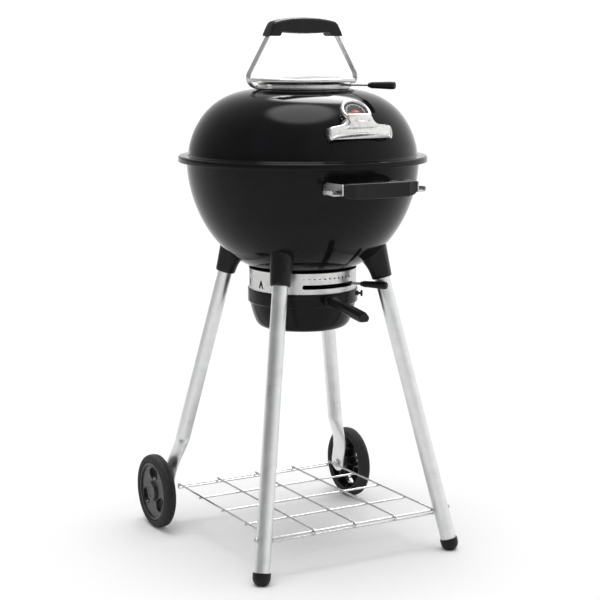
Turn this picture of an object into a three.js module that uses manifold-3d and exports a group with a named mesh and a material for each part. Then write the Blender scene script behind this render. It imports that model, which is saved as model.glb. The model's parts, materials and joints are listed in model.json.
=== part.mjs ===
// Kettle charcoal grill: a round enamelled bowl and lid on a four-legged stand with two
// wheels, a wire shelf and an ash catcher. Millimetres, +Z up, front towards -Y.
// Heights are measured from the ground. Every piece is laid out around the kettle's own
// vertical axis, and the whole assembly is then shifted so that the middle of its
// footprint is the origin.

import * as THREE from 'three';
import { mergeVertices } from 'three/addons/utils/BufferGeometryUtils.js';
import Module from 'manifold-3d';

const wasm = await Module();
wasm.setup();

const point = (x, y, z) => new THREE.Vector3(x, y, z);

// ---------------------------------------------------------------- driving dimensions

const GAP = 0.3;                    // clearance between touching pieces
const SHEET = 1.8;                  // enamelled steel sheet
const ROUND = 32;                   // facets round the kettle
const SHELL_STEPS = 7;              // facets from the rim of a shell to its pole

const RIM_RADIUS = 250;             // outside of the rolled rim
const RIM_TOP = 795.4;
const RIM_BOTTOM = 781.6;
const RIM_SEAM = 787;               // lid skirt above, bowl rim below
const RIM_EDGE = 1.5;               // rounding of the rolled rim

// A shell curve's radius is radius * cos(t) ** (2 / flatness) and its height is
// base + height * sin(t) ** (2 / crown), with t from 0 at the rim to 90 degrees at the pole.
const LID = { radius: 229.7, height: 133.1, base: RIM_TOP, flatness: 3.872, crown: 1.621 };
const BOWL = { radius: 232.7, height: -227.7, base: RIM_BOTTOM, flatness: 2.559, crown: 1.802 };

const LEG_RADIUS = 15.5;
const LEG_WALL = 1.5;
const FRONT_FOOT = point(218.9, -226.6, 0);
const FRONT_SOCKET = point(116.5, -117.4, 552.1);
const REAR_CRIMP = point(187, 183, 192.4);
const REAR_SOCKET = point(116.5, 117.4, 552.1);
const LEG_TOP_RUN = 30;             // how far a leg goes up inside its socket
const FOOT_INSET = 8;               // the leg tube ends this far above the ground point

const WHEEL_RADIUS = 77.7;
const WHEEL_WIDTH = 26;
const WHEEL_MIDDLE = 238;           // tyre centre plane, from the middle of the grill
const AXLE_Y = 208.7;
const AXLE_RADIUS = 5;
const WHEEL_OUTSIDE = 251.4;

const SHELF_HEIGHT = 85.3;
const SHELF_HALF_WIDTH = 185;
const SHELF_HALF_LENGTH = 214;
const WIRE_RADIUS = 1.9;

const ASH_RING_RADIUS = 109;
const ASH_RING_BOTTOM = 512;
const LEVER_HEIGHT = 541.4;
const SLOT_HEIGHT = 9;
const SLOT_FROM = -30;              // degrees from the front, towards the right
const SLOT_TO = 37;
const LOWER_LEVER_ANGLE = 34;
const COLLAR_RADIUS = 111.8;
const COLLAR_TOP = 526.7;
const COLLAR_BOTTOM = 500;
const PAN_BOTTOM = 446;

const VENT_WALL_RADIUS = 90;
const VENT_LEVER_HEIGHT = 932.4;
const VENT_LEVER_ANGLE = 32;
const CAP_RADIUS = 105;
const CAP_BOTTOM = 939.3;
const CAP_TOP = 952;

const HANDLE_REACH = 302;           // front of the bowl handle, from the kettle axis
const HANDLE_HALF = 84;
const HANDLE_BOTTOM = 733.5;
const HANDLE_TOP = 762;

const COOKING_GRATE_HEIGHT = 770;
const COOKING_GRATE_RADIUS = 221;
const COOKING_GRATE_BARS = 11;
const COOKING_GRATE_PITCH = 38;
const CHARCOAL_GRATE_HEIGHT = 641;
const CHARCOAL_GRATE_RADIUS = 182;
const CHARCOAL_GRATE_BARS = 7;
const CHARCOAL_GRATE_PITCH = 48;
const GRATE_WIRE = 2.6;

// The kettle axis stands this far behind the middle of the footprint, which runs from the
// front of the bowl handle to the back of the wheels.
const KETTLE_Y = (HANDLE_REACH - AXLE_Y - WHEEL_RADIUS) / 2;

// ------------------------------------------------------------------------- materials

const paint = (color, roughness, metalness) =>
  new THREE.MeshStandardMaterial({ color, roughness, metalness });

const ENAMEL = paint(0x0a0a0b, 0.12, 0.0);
const STAINLESS = paint(0xb4b6b8, 0.32, 1.0);
const ALUMINIUM = paint(0xc4c6c8, 0.38, 1.0);
const NYLON = paint(0x151515, 0.4, 0.0);
const HUB_PLASTIC = paint(0x303030, 0.55, 0.0);
const RUBBER = paint(0x1a1a1a, 0.75, 0.0);
const WIRE = paint(0xd2d2d2, 0.25, 1.0);
const CAST_BADGE = paint(0xd8d8d8, 0.22, 1.0);
const DIAL_FACE = paint(0x101010, 0.4, 0.0);
const NEEDLE_RED = paint(0xa01818, 0.4, 0.0);
const CLEAR_GLASS = new THREE.MeshStandardMaterial({
  color: 0xffffff, roughness: 0.05, metalness: 0, transparent: true, opacity: 0.3,
});

// --------------------------------------------------------------- solids and geometry

const rad = THREE.MathUtils.degToRad;
const Y_AXIS = new THREE.Vector3(0, 1, 0);
const Z_AXIS = new THREE.Vector3(0, 0, 1);

// Drops triangles that merging has folded onto an edge.
function withoutSlivers(geometry) {
  const index = geometry.getIndex().array;
  const kept = [];
  for (let i = 0; i < index.length; i += 3) {
    const [a, b, c] = [index[i], index[i + 1], index[i + 2]];
    if (a !== b && b !== c && c !== a) kept.push(a, b, c);
  }
  geometry.setIndex(kept);
  return geometry;
}

// Turns a closed skin inside out if its faces point inwards.
function facesOut(geometry) {
  const position = geometry.getAttribute('position');
  const index = geometry.getIndex().array;
  const [a, b, c] = [point(0, 0, 0), point(0, 0, 0), point(0, 0, 0)];
  let volume = 0;
  for (let i = 0; i < index.length; i += 3) {
    a.fromBufferAttribute(position, index[i]);
    b.fromBufferAttribute(position, index[i + 1]);
    c.fromBufferAttribute(position, index[i + 2]);
    volume += a.dot(b.cross(c));
  }
  if (volume < 0) geometry.setIndex(Array.from(index).reverse());
  return geometry;
}

// A closed three.js geometry as a solid that can be joined and cut.
function solid(geometry) {
  geometry.deleteAttribute('normal');
  geometry.deleteAttribute('uv');
  const merged = facesOut(withoutSlivers(mergeVertices(geometry, 1e-3)));
  return new wasm.Manifold(new wasm.Mesh({
    numProp: 3,
    vertProperties: new Float32Array(merged.getAttribute('position').array),
    triVerts: new Uint32Array(merged.getIndex().array),
  }));
}

function geometryOf(shape) {
  const mesh = shape.getMesh();
  const geometry = new THREE.BufferGeometry();
  geometry.setAttribute('position', new THREE.BufferAttribute(mesh.vertProperties, 3));
  geometry.setIndex(Array.from(mesh.triVerts));
  geometry.computeVertexNormals();
  return geometry;
}

const joined = (shapes) => shapes.reduce((whole, shape) => whole.add(shape));

// A profile of [radius, height] points turned about the vertical axis.
function lathe(profile, segments = ROUND) {
  const points = profile.map(([radius, height]) => new THREE.Vector2(radius, height));
  return new THREE.LatheGeometry(points, segments).rotateX(Math.PI / 2);
}

// A closed ring section turned about the vertical axis.
const ringLathe = (profile, segments = ROUND) => lathe([...profile, profile[0]], segments);

// A block between two x, two y and two z values, each pair in either order.
function box(x0, x1, y0, y1, z0, z1) {
  const geometry = new THREE.BoxGeometry(Math.abs(x1 - x0), Math.abs(y1 - y0), Math.abs(z1 - z0));
  return geometry.translate((x0 + x1) / 2, (y0 + y1) / 2, (z0 + z1) / 2);
}

// A straight round or faceted bar between two points.
function bar(from, to, radius, sides = 12, endRadius = radius) {
  const way = point(0, 0, 0).subVectors(to, from);
  const geometry = new THREE.CylinderGeometry(endRadius, radius, way.length(), sides);
  geometry.rotateY(Math.PI / sides);
  const turn = new THREE.Quaternion().setFromUnitVectors(Y_AXIS, way.clone().normalize());
  geometry.applyQuaternion(turn);
  const middle = from.clone().lerp(to, 0.5);
  return geometry.translate(middle.x, middle.y, middle.z);
}

// Cross-sections of equal point count skinned into one closed skin.
function loft(sections) {
  const count = sections[0].length;
  const positions = sections.flat().flatMap((p) => [p.x, p.y, p.z]);
  const index = [];
  for (let s = 0; s < sections.length - 1; s++) {
    for (let i = 0; i < count; i++) {
      const a = s * count + i;
      const b = s * count + ((i + 1) % count);
      index.push(a, b, b + count, a, b + count, a + count);
    }
  }
  const last = (sections.length - 1) * count;
  for (let i = 1; i < count - 1; i++) {
    index.push(0, i + 1, i, last, last + i, last + i + 1);
  }
  const geometry = new THREE.BufferGeometry();
  geometry.setAttribute('position', new THREE.Float32BufferAttribute(positions, 3));
  geometry.setIndex(index);
  return geometry;
}

// An outline of [across, up] points extruded through a thickness centred on zero.
function slab(outline, thickness, bevel = 0) {
  const shape = new THREE.Shape(outline.map(([x, y]) => new THREE.Vector2(x, y)));
  const geometry = new THREE.ExtrudeGeometry(shape, {
    depth: thickness - 2 * bevel,
    bevelEnabled: bevel > 0,
    bevelThickness: bevel,
    bevelSize: bevel,
    bevelOffset: -bevel,
    bevelSegments: 1,
  });
  return geometry.translate(0, 0, -(thickness - 2 * bevel) / 2);
}

// A flat strip of even thickness along a centre line of [across, up] points.
function stripOutline(centreLine, thickness) {
  const side = (sign) => centreLine.map(([x, y], i) => {
    const before = centreLine[Math.max(i - 1, 0)];
    const after = centreLine[Math.min(i + 1, centreLine.length - 1)];
    const along = new THREE.Vector2(after[0] - before[0], after[1] - before[1]).normalize();
    return [x - along.y * sign * thickness / 2, y + along.x * sign * thickness / 2];
  });
  return [...side(1), ...side(-1).reverse()];
}

// A pie-slice prism, with angles in degrees from the front (-Y) towards the right (+X).
function sector(inner, outer, from, to, bottom, top) {
  const steps = Math.max(2, Math.ceil((to - from) / 10));
  const arc = (radius, start, end) => Array.from({ length: steps + 1 }, (_, i) => {
    const angle = rad(start + ((end - start) * i) / steps - 90);
    return [radius * Math.cos(angle), radius * Math.sin(angle)];
  });
  const outline = [...arc(inner, from, to), ...arc(outer, to, from)];
  const geometry = slab(outline, top - bottom);
  return geometry.translate(0, 0, (top + bottom) / 2);
}

// The point at a radius and height, at an angle from the front towards the right.
function around(radius, angle, height) {
  const turn = rad(angle - 90);
  return point(radius * Math.cos(turn), radius * Math.sin(turn), height);
}

// Outer curve of a shell from its rim to its pole, moved inwards by an offset.
function shellCurve(form, offset, steps) {
  const radius = form.radius - offset;
  const height = form.height - Math.sign(form.height) * offset;
  return Array.from({ length: steps + 1 }, (_, i) => {
    const angle = (i / steps) * (Math.PI / 2);
    const across = i === steps ? 0 : Math.cos(angle) ** (2 / form.flatness);
    return [radius * across, form.base + height * Math.sin(angle) ** (2 / form.crown)];
  });
}

// -------------------------------------------------------------------------- the scene

const grill = new THREE.Group();
grill.position.y = KETTLE_Y;

function addPart(name, shape, material, parent = grill) {
  const geometry = shape.isBufferGeometry ? geometryOf(solid(shape)) : geometryOf(shape);
  const mesh = new THREE.Mesh(geometry, material);
  mesh.name = name;
  parent.add(mesh);
  return mesh;
}

const SIDES = [['left', -1], ['right', 1]];

const bolt = (bottom, top, radius, sides = 12) =>
  solid(bar(point(0, 0, bottom), point(0, 0, top), radius, sides));

// ------------------------------------------------------------------------------- bowl

const AIR_HOLE_INNER = 30;
const AIR_HOLE_OUTER = 84;
const AIR_HOLE_SPAN = 50;
const AIR_HOLE_TURNS = [0, 120, 240];
const SWEEP_SHAFT = 5;
const BOWL_FLOOR = Math.round(BOWL.base + BOWL.height);

function bowlShell() {
  const outer = shellCurve(BOWL, 0, SHELL_STEPS);
  const inner = shellCurve(BOWL, SHEET, SHELL_STEPS).reverse();
  const lipTop = RIM_SEAM - GAP;
  const lipRadius = RIM_RADIUS - 0.5;
  const rim = [
    [BOWL.radius - SHEET, lipTop],
    [lipRadius - 1, lipTop],
    [lipRadius, lipTop - 1],
    [lipRadius, RIM_BOTTOM],
    [lipRadius - SHEET, RIM_BOTTOM],
    [lipRadius - SHEET, lipTop - SHEET],
    [BOWL.radius, lipTop - SHEET],
  ];
  let shell = solid(lathe([...inner, ...rim, ...outer]));
  for (const turn of AIR_HOLE_TURNS) {
    const from = turn - AIR_HOLE_SPAN / 2;
    const to = turn + AIR_HOLE_SPAN / 2;
    const hole = sector(AIR_HOLE_INNER, AIR_HOLE_OUTER, from, to, BOWL_FLOOR - 14, BOWL_FLOOR + 36);
    shell = shell.subtract(solid(hole));
  }
  return shell.subtract(bolt(BOWL_FLOOR - 14, BOWL_FLOOR + 16, SWEEP_SHAFT + 0.5, 16));
}

// The space the bowl fills, a little oversize, for trimming pieces that meet it.
function bowlSpace() {
  const outer = shellCurve(BOWL, -2 * GAP, SHELL_STEPS);
  return solid(lathe([[0, RIM_BOTTOM], ...outer]));
}

// The hollow inside the bowl, a little undersize.
function bowlHollow() {
  const inner = shellCurve(BOWL, SHEET + 2 * GAP, SHELL_STEPS);
  return solid(lathe([[0, RIM_BOTTOM], ...inner]));
}

addPart('bowl', bowlShell(), ENAMEL);

// Brackets on the bowl wall that the cooking grate rests on.
const SUPPORT_TURNS = [60, 180, 300];
const SUPPORT_WIDTH = 18;
const SUPPORT_REACH = 20;
const SUPPORT_HEIGHT = 20;

function grateSupport(turn) {
  const wall = -BOWL.radius;
  const half = SUPPORT_WIDTH / 2;
  const top = COOKING_GRATE_HEIGHT - GRATE_WIRE - GAP;
  const shelf = box(-half, half, wall, wall + SUPPORT_REACH, top - 2, top).rotateZ(rad(turn));
  const back = box(-half, half, wall, wall + 7, top - SUPPORT_HEIGHT, top).rotateZ(rad(turn));
  return solid(shelf).add(solid(back)).intersect(bowlHollow());
}

SUPPORT_TURNS.forEach((turn, i) => {
  addPart(`grate_support_${i + 1}`, grateSupport(turn), STAINLESS);
});

// ---------------------------------------------------------------- bowl handle at front

const ARM_THICKNESS = 3;
const ARM_LOW = 736;
const ARM_HIGH = 761;
const FLANGE_LOW = 740;
const FLANGE_HIGH = 757;
const HOOK_REACH = 104;             // outside of the tool hooks, from the middle
const HOOK_TAB = 18;
const HOOK_TIP_TOP = 749.5;
const GRIP_DEPTH = 23;
const BAR_Y = -HANDLE_REACH + GRIP_DEPTH / 2;
const BAR_HALF = 1.5;

// A bent strap: two arms, a cross bar inside the grip, flanges on the bowl and tool hooks.
function handleBracket() {
  const armRear = -Math.sqrt(BOWL.radius ** 2 - HANDLE_HALF ** 2) - 12;
  const inside = HANDLE_HALF - ARM_THICKNESS;
  const barFront = BAR_Y - BAR_HALF;
  const tipInside = HOOK_REACH - ARM_THICKNESS;
  const pieces = [box(-HANDLE_HALF, HANDLE_HALF, barFront, BAR_Y + BAR_HALF, FLANGE_LOW, FLANGE_LOW + 16)];
  const trims = [];
  for (const [, side] of SIDES) {
    const sided = (x0, x1, ...rest) => box(x0 * side, x1 * side, ...rest);
    const hookFront = BAR_Y + 1;
    pieces.push(
      sided(inside, HANDLE_HALF, barFront, armRear + 60, ARM_LOW, ARM_HIGH),
      sided(inside - 24, HANDLE_HALF, armRear, armRear + 30, FLANGE_LOW, FLANGE_HIGH),
      sided(HANDLE_HALF - 1, HOOK_REACH, hookFront, hookFront + HOOK_TAB, ARM_LOW - 0.5, ARM_LOW + 2.5),
      sided(tipInside, HOOK_REACH, hookFront, hookFront + HOOK_TAB, ARM_LOW, HOOK_TIP_TOP),
    );
    // In front of the flange only the strap itself is left.
    trims.push(sided(inside - GAP, 40, -275, armRear - 6, 730, 770));
  }
  const bowlWall = [[0, 700], [BOWL.radius - 4, 700], [BOWL.radius + 1.6, 790], [0, 790]];
  const bracket = joined(pieces.map(solid)).subtract(solid(lathe(bowlWall))).subtract(bowlSpace());
  return bracket.subtract(joined(trims.map(solid)));
}

function handleGrip() {
  const end = HANDLE_HALF - 4;
  const right = [
    [20, HANDLE_BOTTOM - 1], [end - 3, HANDLE_BOTTOM], [end, HANDLE_BOTTOM + 3],
    [end, HANDLE_TOP - 4], [end - 4, HANDLE_TOP - 1], [20, HANDLE_TOP],
  ];
  const left = right.map(([x, z]) => [-x, z]).reverse();
  const block = slab([...right, ...left], GRIP_DEPTH, 3).rotateX(Math.PI / 2).translate(0, BAR_Y, 0);
  const slotHalf = BAR_HALF + GAP + 0.1;
  const slotReach = HANDLE_HALF + 9;
  const barSpace = box(
    -slotReach, slotReach, BAR_Y - slotHalf, BAR_Y + slotHalf,
    FLANGE_LOW - GAP - 0.1, FLANGE_LOW + 16 + GAP + 0.1,
  );
  return solid(block).subtract(solid(barSpace));
}

addPart('bowl_handle_bracket', handleBracket(), STAINLESS);
addPart('bowl_handle_grip', handleGrip(), NYLON);

// --------------------------------------------------------------- legs, sockets and feet

const SOCKET_LENGTH = 86;
const SOCKET_MOUTH_RADIUS = 19.5;
const SOCKET_TOP_RADIUS = 24;

const mirrorX = (place, side) => point(place.x * side, place.y, place.z);
const alongFrom = (place, way, distance) => place.clone().addScaledVector(way, distance);

// A moulded cup round the top of a leg, with a web that widens towards the kettle axis.
function socket(bottom, up) {
  const top = alongFrom(bottom, up, SOCKET_LENGTH);
  const cup = solid(bar(bottom, top, SOCKET_MOUTH_RADIUS, 16, SOCKET_TOP_RADIUS));
  const inward = point(-bottom.x, -bottom.y, 0).normalize();
  const across = point(0, 0, 0).crossVectors(Z_AXIS, inward);
  const webSection = (distance, half, reach) => {
    const corners = [[-6, -half], [reach, -half * 0.7], [reach, half * 0.7], [-6, half]];
    const middle = alongFrom(bottom, up, distance);
    return corners.map(([r, t]) => alongFrom(alongFrom(middle, inward, r), across, t));
  };
  const web = solid(loft([webSection(3, 15, 19), webSection(40, 18, 36), webSection(70, 22, 64)]));
  const bore = solid(bar(
    alongFrom(bottom, up, -10),
    alongFrom(bottom, up, LEG_TOP_RUN + 1),
    LEG_RADIUS + 2 * GAP, 16,
  ));
  return cup.add(web).subtract(bore).subtract(bowlSpace());
}

function tube(from, to, radius, wall) {
  const way = point(0, 0, 0).subVectors(to, from).normalize();
  const inner = bar(alongFrom(from, way, -2), alongFrom(to, way, 2), radius - wall, 16);
  return solid(bar(from, to, radius, 16)).subtract(solid(inner));
}

function frontLeg(side) {
  const foot = mirrorX(FRONT_FOOT, side);
  const mouth = mirrorX(FRONT_SOCKET, side);
  const up = mouth.clone().sub(foot).normalize();
  const leg = tube(
    alongFrom(foot, up, FOOT_INSET), alongFrom(mouth, up, LEG_TOP_RUN), LEG_RADIUS, LEG_WALL,
  );
  return { leg, up, foot };
}

const CAP_OUTER = 18;
const CAP_HEIGHT = 27;

// A moulded cap on the foot of a leg, with a small flat where it stands.
function footCap(foot, up) {
  const dome = lathe([
    [0, -2.2], [9, -1.6], [14.5, 1.5], [17.2, 6.5], [CAP_OUTER, 12], [CAP_OUTER, CAP_HEIGHT],
    [0, CAP_HEIGHT],
  ], 14);
  dome.applyQuaternion(new THREE.Quaternion().setFromUnitVectors(Z_AXIS, up));
  dome.translate(foot.x, foot.y, foot.z);
  const boreFrom = alongFrom(foot, up, FOOT_INSET - GAP);
  const bore = bar(boreFrom, alongFrom(foot, up, 60), LEG_RADIUS + GAP, 16);
  const underGround = box(-400, 400, -400, 400, -50, 0);
  return solid(dome).subtract(solid(bore)).subtract(solid(underGround));
}

const TONGUE_X = 210;
const TONGUE_HALF_THICKNESS = 2.2;
const TONGUE_HALF_WIDTH = 24.5;
const TONGUE_TIP_STEPS = 4;
const AXLE_Z = WHEEL_RADIUS;

// A rear leg is a tube whose lower end is pressed flat into an upright tongue.
function rearLeg(side) {
  const mouth = mirrorX(REAR_SOCKET, side);
  const crimp = mirrorX(REAR_CRIMP, side);
  const up = mouth.clone().sub(crimp).normalize();
  const end = alongFrom(mouth, up, LEG_TOP_RUN);
  const upper = solid(bar(alongFrom(crimp, up, -2), end, LEG_RADIUS, 12));
  const section = (x, y, z, halfX, halfY) => Array.from({ length: 12 }, (_, i) => {
    const angle = ((i + 0.5) / 12) * 2 * Math.PI;
    return point(x * side + halfX * Math.cos(angle), y + halfY * Math.sin(angle), z);
  });
  const flat = (y, z, halfY) => section(TONGUE_X, y, z, TONGUE_HALF_THICKNESS, halfY);
  const sections = [
    section(REAR_CRIMP.x - 4, REAR_CRIMP.y - 4, REAR_CRIMP.z + 20, LEG_RADIUS, LEG_RADIUS),
    section(REAR_CRIMP.x, REAR_CRIMP.y, REAR_CRIMP.z, LEG_RADIUS, LEG_RADIUS),
    section(197, 190, 160, 9, 21),
    section(206, 196.5, 134, 4, TONGUE_HALF_WIDTH),
    flat(203, 110, TONGUE_HALF_WIDTH + 0.5),
    flat(AXLE_Y, 84, TONGUE_HALF_WIDTH),
  ];
  for (let i = 1; i <= TONGUE_TIP_STEPS; i++) {
    const angle = (i / TONGUE_TIP_STEPS) * rad(82);
    sections.push(flat(AXLE_Y, 80 - 19 * Math.sin(angle), (TONGUE_HALF_WIDTH - 1) * Math.cos(angle)));
  }
  const lower = solid(loft(sections));
  const hollow = bar(alongFrom(crimp, up, 8), alongFrom(end, up, 2), LEG_RADIUS - LEG_WALL, 12);
  const axleHole = bar(
    point((TONGUE_X - 20) * side, AXLE_Y, AXLE_Z),
    point((TONGUE_X + 20) * side, AXLE_Y, AXLE_Z),
    AXLE_RADIUS + GAP, 12,
  );
  return { leg: upper.add(lower).subtract(solid(hollow)).subtract(solid(axleHole)), up };
}

for (const [name, side] of SIDES) {
  const front = frontLeg(side);
  addPart(`front_leg_${name}`, front.leg, ALUMINIUM);
  addPart(`front_foot_cap_${name}`, footCap(front.foot, front.up), NYLON);
  addPart(`leg_socket_front_${name}`, socket(mirrorX(FRONT_SOCKET, side), front.up), NYLON);
  const rear = rearLeg(side);
  addPart(`rear_leg_${name}`, rear.leg, ALUMINIUM);
  addPart(`leg_socket_rear_${name}`, socket(mirrorX(REAR_SOCKET, side), rear.up), NYLON);
}

// ------------------------------------------------------------------------- wheels

const HUB_OPENING_TURNS = [0, 120, 240];
const HUB_CAP_RADIUS = 19;
const AXLE_NUT_RADIUS = 8.5;

// Wheel pieces are laid out round +Z with the outer face up, then turned onto the axle.
function tyre() {
  const half = WHEEL_WIDTH / 2;
  return ringLathe([
    [62.3, -half + 2], [66, -half], [72, -half + 1], [76.3, -half + 4.5], [WHEEL_RADIUS, 0],
    [76.3, half - 4.5], [72, half - 1], [66, half], [62.3, half - 2],
  ], 24);
}

function wheelHub() {
  const half = WHEEL_WIDTH / 2;
  const body = solid(ringLathe([
    [AXLE_RADIUS + 0.4, -half], [17, -half], [19, half - 9], [54, half - 8], [55, -half + 2],
    [62, -half + 2], [62, half - 2], [57, half - 2], [54, half - 4], [21, half - 4],
    [20, half - 1], [AXLE_RADIUS + 0.4, half - 1],
  ], 24));
  return HUB_OPENING_TURNS.reduce(
    (hub, turn) => hub.subtract(solid(hubOpening().rotateZ(rad(turn)))), body,
  );
}

// One of the swept openings in the hub's web.
function hubOpening() {
  const outline = [[24, -9], [34, -19], [47, -17], [52.5, -4], [49, 9], [40, 15], [30, 9], [27, 0]];
  return slab(outline, 30).translate(0, 0, WHEEL_WIDTH / 2 - 6);
}

function hubCap() {
  const seat = WHEEL_WIDTH / 2 - 1 + GAP;
  const top = WHEEL_OUTSIDE - WHEEL_MIDDLE;
  return lathe([[0, seat], [HUB_CAP_RADIUS, seat], [HUB_CAP_RADIUS, top - 1], [16, top], [0, top]], 24);
}

// A shoulder bolt through the leg's tongue and the wheel, with its nut inside the tongue.
function axleBolt() {
  const tongueInner = TONGUE_X - TONGUE_HALF_THICKNESS - GAP - WHEEL_MIDDLE;
  const tongueOuter = TONGUE_X + TONGUE_HALF_THICKNESS + GAP - WHEEL_MIDDLE;
  const shaft = bolt(tongueInner - 1, WHEEL_WIDTH / 2 - 1.5, AXLE_RADIUS);
  const nut = bolt(tongueInner - 6, tongueInner, AXLE_NUT_RADIUS, 6);
  const spacer = bolt(tongueOuter, -WHEEL_WIDTH / 2 - GAP, AXLE_NUT_RADIUS);
  return shaft.add(nut).add(spacer);
}

for (const [name, side] of SIDES) {
  const wheel = new THREE.Group();
  wheel.position.set(WHEEL_MIDDLE * side, AXLE_Y, AXLE_Z);
  wheel.rotation.y = (Math.PI / 2) * side;
  grill.add(wheel);
  addPart(`tyre_${name}`, tyre(), RUBBER, wheel);
  addPart(`wheel_hub_${name}`, wheelHub(), HUB_PLASTIC, wheel);
  addPart(`hub_cap_${name}`, hubCap(), HUB_PLASTIC, wheel);
  addPart(`axle_bolt_${name}`, axleBolt(), STAINLESS, wheel);
}

// --------------------------------------------------------------------------- shelf

const SHELF_WIRES = 5;              // along the shelf, and as many across
const SHELF_RAIL_DROP = 10;         // the end rails hang this far below the shelf

function wireShelf() {
  const wires = [];
  const wire = (from, to) => wires.push(solid(bar(from, to, WIRE_RADIUS, 4)));
  const lowered = SHELF_HEIGHT - 1.2 * WIRE_RADIUS;
  const endY = SHELF_HALF_LENGTH - WIRE_RADIUS;
  const railZ = SHELF_HEIGHT - SHELF_RAIL_DROP;
  const railReach = SHELF_HALF_WIDTH + 1;
  for (let i = 0; i < SHELF_WIRES; i++) {
    const share = (2 * i) / (SHELF_WIRES - 1) - 1;
    const x = share * SHELF_HALF_WIDTH;
    wire(point(x, -SHELF_HALF_LENGTH, SHELF_HEIGHT), point(x, SHELF_HALF_LENGTH, SHELF_HEIGHT));
    wire(point(x, -endY, SHELF_HEIGHT + 1), point(x, -endY, railZ - 2));
    wire(point(x, endY, SHELF_HEIGHT + 1), point(x, endY, railZ - 2));
    const y = share * (SHELF_HALF_LENGTH - 7);
    const reach = Math.abs(share) === 1 ? railReach : SHELF_HALF_WIDTH + 4;
    wire(point(-reach, y, lowered), point(reach, y, lowered));
  }
  wire(point(-railReach, -endY, railZ), point(railReach, -endY, railZ));
  wire(point(-railReach, endY, railZ), point(railReach, endY, railZ));
  return joined(wires);
}

addPart('wire_shelf', wireShelf(), WIRE);

// -------------------------------------------------------------- ash ring under the bowl

const CHEVRON_TURNS = [-78, -103];
const CHEVRON = [[-7, -8], [-3, -8], [0, -1], [3, -8], [7, -8], [1.5, 8], [-1.5, 8]];
const ASH_RING_WALL = 1.4;
const ASH_RING_TOP = 569.6;         // before it is trimmed to the bowl

function ashRing() {
  const inner = ASH_RING_RADIUS - ASH_RING_WALL;
  const slotBottom = LEVER_HEIGHT - SLOT_HEIGHT / 2;
  const slot = sector(
    inner - 8, ASH_RING_RADIUS + 9, SLOT_FROM, SLOT_TO, slotBottom, slotBottom + SLOT_HEIGHT,
  );
  let ring = solid(ringLathe([
    [inner, ASH_RING_BOTTOM], [ASH_RING_RADIUS, ASH_RING_BOTTOM],
    [ASH_RING_RADIUS, ASH_RING_TOP], [inner, ASH_RING_TOP],
  ])).subtract(bowlSpace()).subtract(solid(slot));
  for (const turn of CHEVRON_TURNS) {
    const chevron = slab(CHEVRON, 20).rotateX(Math.PI / 2);
    chevron.translate(0, -ASH_RING_RADIUS, LEVER_HEIGHT).rotateZ(rad(turn));
    ring = ring.subtract(solid(chevron));
  }
  return ring;
}

addPart('ash_ring', ashRing(), STAINLESS);

// ----------------------------------------------------------- sweep, which is the damper

const BLADE_SPAN = 54;
const BLADE_RADIUS = 92;
const SWEEP_HUB = 16;
const LEVER_ROD = 2.6;
const GRIP_LENGTH = 57;

// Three blades lie just above the bowl's floor. Turned, they sweep ash into the pan and
// close the air holes.
function ashSweep() {
  const under = shellCurve(BOWL, SHEET + 1.2, SHELL_STEPS);
  const over = shellCurve(BOWL, SHEET + 3.2, SHELL_STEPS).reverse();
  const skin = solid(lathe([...over, ...under]));
  const blades = AIR_HOLE_TURNS.map((turn) => {
    const middle = turn + 60;
    const [from, to] = [middle - BLADE_SPAN / 2, middle + BLADE_SPAN / 2];
    return solid(sector(4, BLADE_RADIUS, from, to, BOWL_FLOOR - 4, BOWL_FLOOR + 46));
  });
  const hub = bolt(BOWL_FLOOR + 3.6, BOWL_FLOOR + 11, SWEEP_HUB, 24);
  const shaft = bolt(LEVER_HEIGHT + LEVER_ROD + GAP, BOWL_FLOOR + 6, SWEEP_SHAFT, 16);
  return joined([hub, shaft, skin.intersect(joined(blades))]);
}

function leverRod(angle, height, from, to) {
  return bar(around(from, angle, height), around(to, angle, height), LEVER_ROD, 10);
}

function leverGrip(angle, height, from) {
  const grip = lathe([
    [0, 0], [4.5, 0], [6.2, 3], [6.6, 20], [7.6, GRIP_LENGTH - 6], [6.5, GRIP_LENGTH - 1.5],
    [0, GRIP_LENGTH],
  ], 20);
  const outward = around(1, angle, 0);
  grip.applyQuaternion(new THREE.Quaternion().setFromUnitVectors(Z_AXIS, outward));
  const start = around(from, angle, height);
  return grip.translate(start.x, start.y, start.z);
}

const LOWER_GRIP_START = 130;
const lowerRod = leverRod(LOWER_LEVER_ANGLE, LEVER_HEIGHT, -8, LOWER_GRIP_START - GAP);
const lowerGrip = leverGrip(LOWER_LEVER_ANGLE, LEVER_HEIGHT, LOWER_GRIP_START);
addPart('ash_sweep', ashSweep(), STAINLESS);
addPart('sweep_lever_rod', lowerRod, STAINLESS);
addPart('sweep_lever_grip', lowerGrip, NYLON);

// ------------------------------------------------------------------------- ash pan

const PAN_WALL = 1.5;
const PAN_PROFILE = [
  [COLLAR_RADIUS, COLLAR_TOP], [COLLAR_RADIUS, COLLAR_BOTTOM], [107.6, 496.5], [104.7, 485],
  [99.5, 466], [95, 455.5], [88, 449], [78, PAN_BOTTOM], [0, PAN_BOTTOM],
];
const PAN_HANDLE_ROOT = point(0, -COLLAR_RADIUS - 8, 513.4);
const PAN_HANDLE_TIP = point(0, -238, 498);
const PAN_STUB_RADIUS = 4;
const PAN_STUB_ROOT = point(0, -COLLAR_RADIUS - 3, 514);
const PAN_STUB_END = point(0, -150, 509.5);
const THUMBSCREW_ANGLE = 52;
const THUMBSCREW_HEIGHT = 516;

function ashPan() {
  const inner = PAN_PROFILE.map(([radius, height]) => {
    const raised = radius > 100 ? 0 : PAN_WALL;
    return [Math.max(radius - PAN_WALL, 0), height + raised];
  });
  return solid(lathe([...inner.reverse(), ...PAN_PROFILE], 24));
}

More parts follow.
